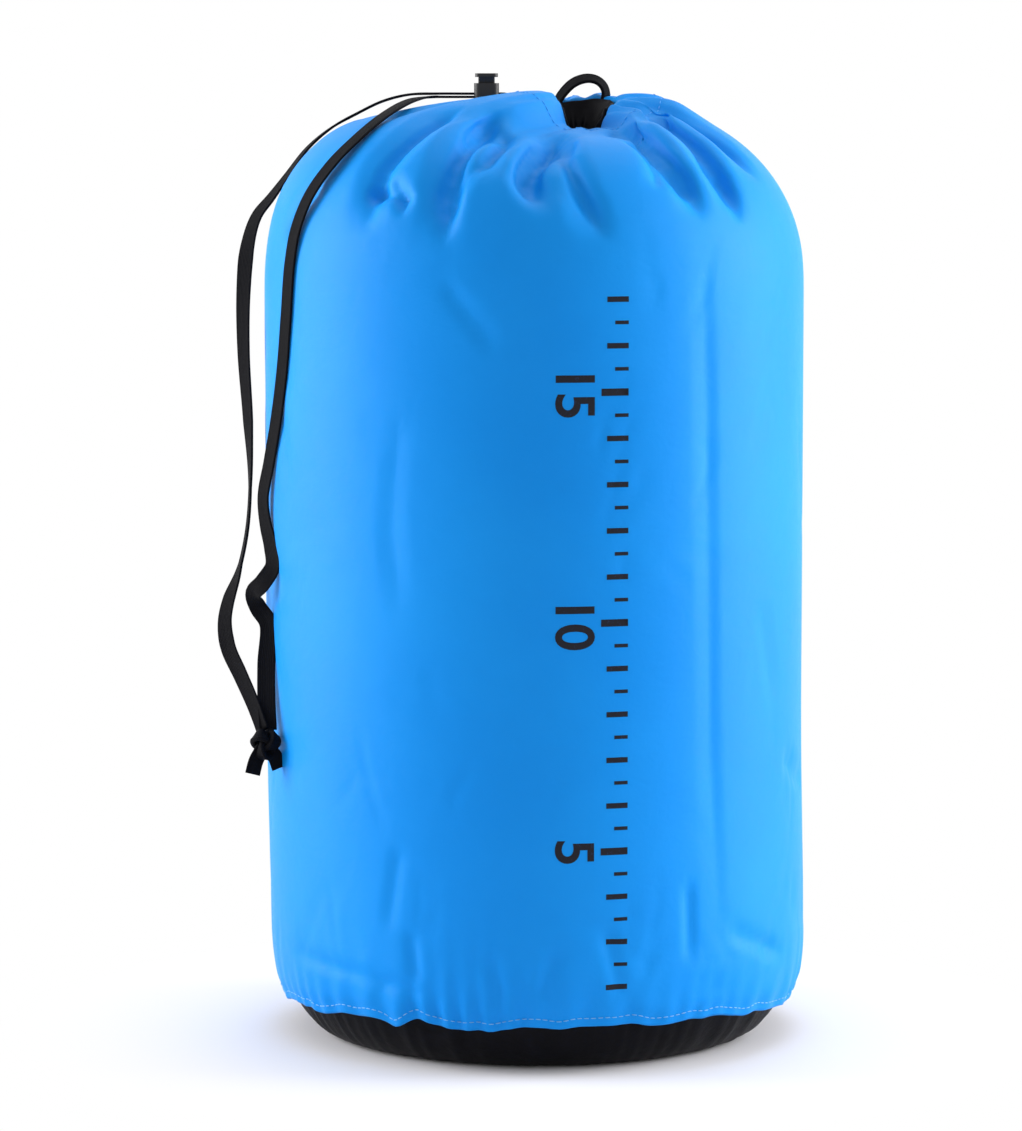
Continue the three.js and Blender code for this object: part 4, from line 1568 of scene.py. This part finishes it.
def grip_bar(height, width):
    """A rounded upright rib."""
    rings = ((-0.5, 0.4), (-0.42, 0.9), (0, 1), (0.42, 0.9), (0.5, 0.4))
    sides = 8
    points = []
    for z, size in rings:
        for j in range(sides):
            turn = j / sides * 2 * math.pi
            points.append((height * z, width * size * math.cos(turn), width * size * math.sin(turn)))
    faces = [tuple(f) for f in grid_faces(len(rings), sides)]
    faces += [tuple(range(sides))[::-1], tuple(range(len(points) - sides, len(points)))]
    piece = new_piece("grip_bar", points, faces, "plastic")
    return outward_faces(piece)


def coil_spring():
    """A bright coil spring with short flat ends."""
    wire = 0.3 * MM
    turns, steps = 3.5, 32
    middle = (spring_low + spring_high) / 2
    radius = (spring_high.y - spring_low.y) / 2 - wire
    curve = bpy.data.curves.new("spring_coil", "CURVE")
    curve.dimensions = "3D"
    curve.bevel_depth = wire
    curve.bevel_resolution = 3
    curve.use_fill_caps = True
    line = curve.splines.new("POLY")
    count = round(turns * steps) + 1
    line.points.add(count - 1)
    for i, point in enumerate(line.points):
        share = i / (count - 1)
        angle = 2 * math.pi * turns * share
        rise = min(max((share - 0.04) / 0.92, 0), 1)
        height = spring_low.z + wire + (spring_high.z - spring_low.z - 2 * wire) * rise
        point.co = (middle.x + radius * math.cos(angle), middle.y + radius * math.sin(angle), height, 1)
    bent = bpy.data.objects.new("spring_coil", curve)
    bpy.context.scene.collection.objects.link(bent)
    mesh = bpy.data.meshes.new_from_object(bent.evaluated_get(bpy.context.evaluated_depsgraph_get()))
    bpy.data.objects.remove(bent)
    piece = bpy.data.objects.new("lock_spring_coil", mesh)
    bpy.context.scene.collection.objects.link(piece)
    mesh.materials.clear()
    mesh.materials.append(finish_named("spring"))
    mesh.shade_smooth()
    return outward_faces(piece)


class SACK_OT_lock(bpy.types.Operator):
    """Rounds the cord lock's barrel and plunger, and gives it grip ribs and a bright spring"""

    bl_idname = "sack.lock"
    bl_label = "Cord lock"

    def execute(self, context):
        barrel = bevelled("lock_barrel", "lock_barrel_shell", 0.45 * MM)
        ribs = []
        bar = grip_bar(7.5 * MM, 0.42 * MM)
        low = lock_low.z + 4.6 * MM
        for y in (lock_low.y, lock_high.y):
            ribs.append([(lock_low.x + 2.6 * MM, y, low), (lock_high.x - 2.5 * MM, y, low)])
        grips = copies("lock_grips", ribs, bar, 1.25 * MM, "plastic")
        drop(bar)
        settle(joined([barrel, grips], "lock_barrel_moulded"), "lock", "lock_plastic", "lock_barrel")
        plunger = bevelled("lock_plunger", "lock_plunger_moulded", 0.5 * MM)
        settle(plunger, "lock_button", "lock_plastic", "lock_plunger")
        spring = settle(coil_spring(), "lock", "spring_steel", "lock_spring")
        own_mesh(spring)
        return {"FINISHED"}


class SACK_OT_loop(bpy.types.Operator):
    """Makes the webbing hang loop behind the mouth"""

    bl_idname = "sack.loop"
    bl_label = "Hang loop"

    def execute(self, context):
        y = (loop_low.y + loop_high.y) / 2
        foot = loop_low.z + 0.3 * MM
        arch = [
            (9.9 * MM, y, foot - 2.8 * MM), (10.8 * MM, y, foot - 0.6 * MM),
            (13.2 * MM, y, foot + 3.4 * MM), (17.4 * MM, y, foot + 7.8 * MM),
            (21.4 * MM, y, foot + 9.9 * MM), (25.6 * MM, y, foot + 10.6 * MM),
            (29.6 * MM, y, foot + 9.6 * MM), (32.4 * MM, y, foot + 7.0 * MM),
            (33.5 * MM, y, foot + 3.6 * MM), (32.8 * MM, y, foot - 0.2 * MM),
            (31.8 * MM, y, foot - 2.6 * MM),
        ]  # fmt: skip
        route, _ = smooth_route(arch, 90)
        middle = Vector((23.0 * MM, y, foot + 1.5 * MM))

        def faces_to(i):
            return (Vector(route[i]) - middle) + Vector((0, -0.006, 0))

        piece = tape("hang_loop_webbing", route, faces_to, 6.2 * MM, 1.6 * MM)
        settle(piece, "loop", "black_tape", "hang_loop")
        return {"FINISHED"}


class SACK_OT_channel(bpy.types.Operator):
    """Makes the tape inside the channel and the buttonhole that it leaves by"""

    bl_idname = "sack.channel"
    bl_label = "Channel tape"

    def execute(self, context):
        settle(channel_tape(context.scene.sack_sizes), "sack", "black_tape", "drawcord_ring")
        settle(buttonhole(), "sack", "thread")
        return {"FINISHED"}


# ------------------------------------------------------------------ finishes of the frame's own pieces

FRAME_FINISHES = {
    "base_seam_binding": "black",
    "side_seam_binding": "black",
}


class SACK_OT_finishes(bpy.types.Operator):
    """Gives the frame's own pieces their materials"""

    bl_idname = "sack.finishes"
    bl_label = "Finishes"

    def execute(self, context):
        for node, material in FRAME_FINISHES.items():
            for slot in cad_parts[node].material_slots:
                slot.material = finish_named(material)
        return {"FINISHED"}


# ------------------------------------------------------------------ panel and start

OPERATORS = (
    SACK_OT_stage,
    SACK_OT_drawcord,
    SACK_OT_cloth,
    SACK_OT_stitches,
    SACK_OT_scale,
    SACK_OT_channel,
    SACK_OT_lock,
    SACK_OT_loop,
    SACK_OT_finishes,
)


class SACK_PT_pieces(bpy.types.Panel):
    """Lists the sack's sizes, colours and pieces"""

    bl_idname = "SACK_PT_pieces"
    bl_label = "Sack"
    bl_space_type = "VIEW_3D"
    bl_region_type = "UI"
    bl_category = "Sack"

    def draw(self, context):
        for group in (context.scene.sack_sizes, context.scene.sack_colours):
            for name in group.__annotations__:
                self.layout.prop(group, name)
        for operator in OPERATORS:
            self.layout.operator(operator.bl_idname)


CLASSES = (SackSizes, SackColours, *OPERATORS, SACK_PT_pieces)


def register():
    for each in CLASSES:
        bpy.utils.register_class(each)
    bpy.types.Scene.sack_sizes = PointerProperty(type=SackSizes)
    bpy.types.Scene.sack_colours = PointerProperty(type=SackColours)


def unregister():
    del bpy.types.Scene.sack_colours
    del bpy.types.Scene.sack_sizes
    for each in reversed(CLASSES):
        bpy.utils.unregister_class(each)


def main():
    register()
    for operator in OPERATORS:
        area, name = operator.bl_idname.split(".")
        getattr(getattr(bpy.ops, area), name)()


if __name__ == "__main__":
    main()
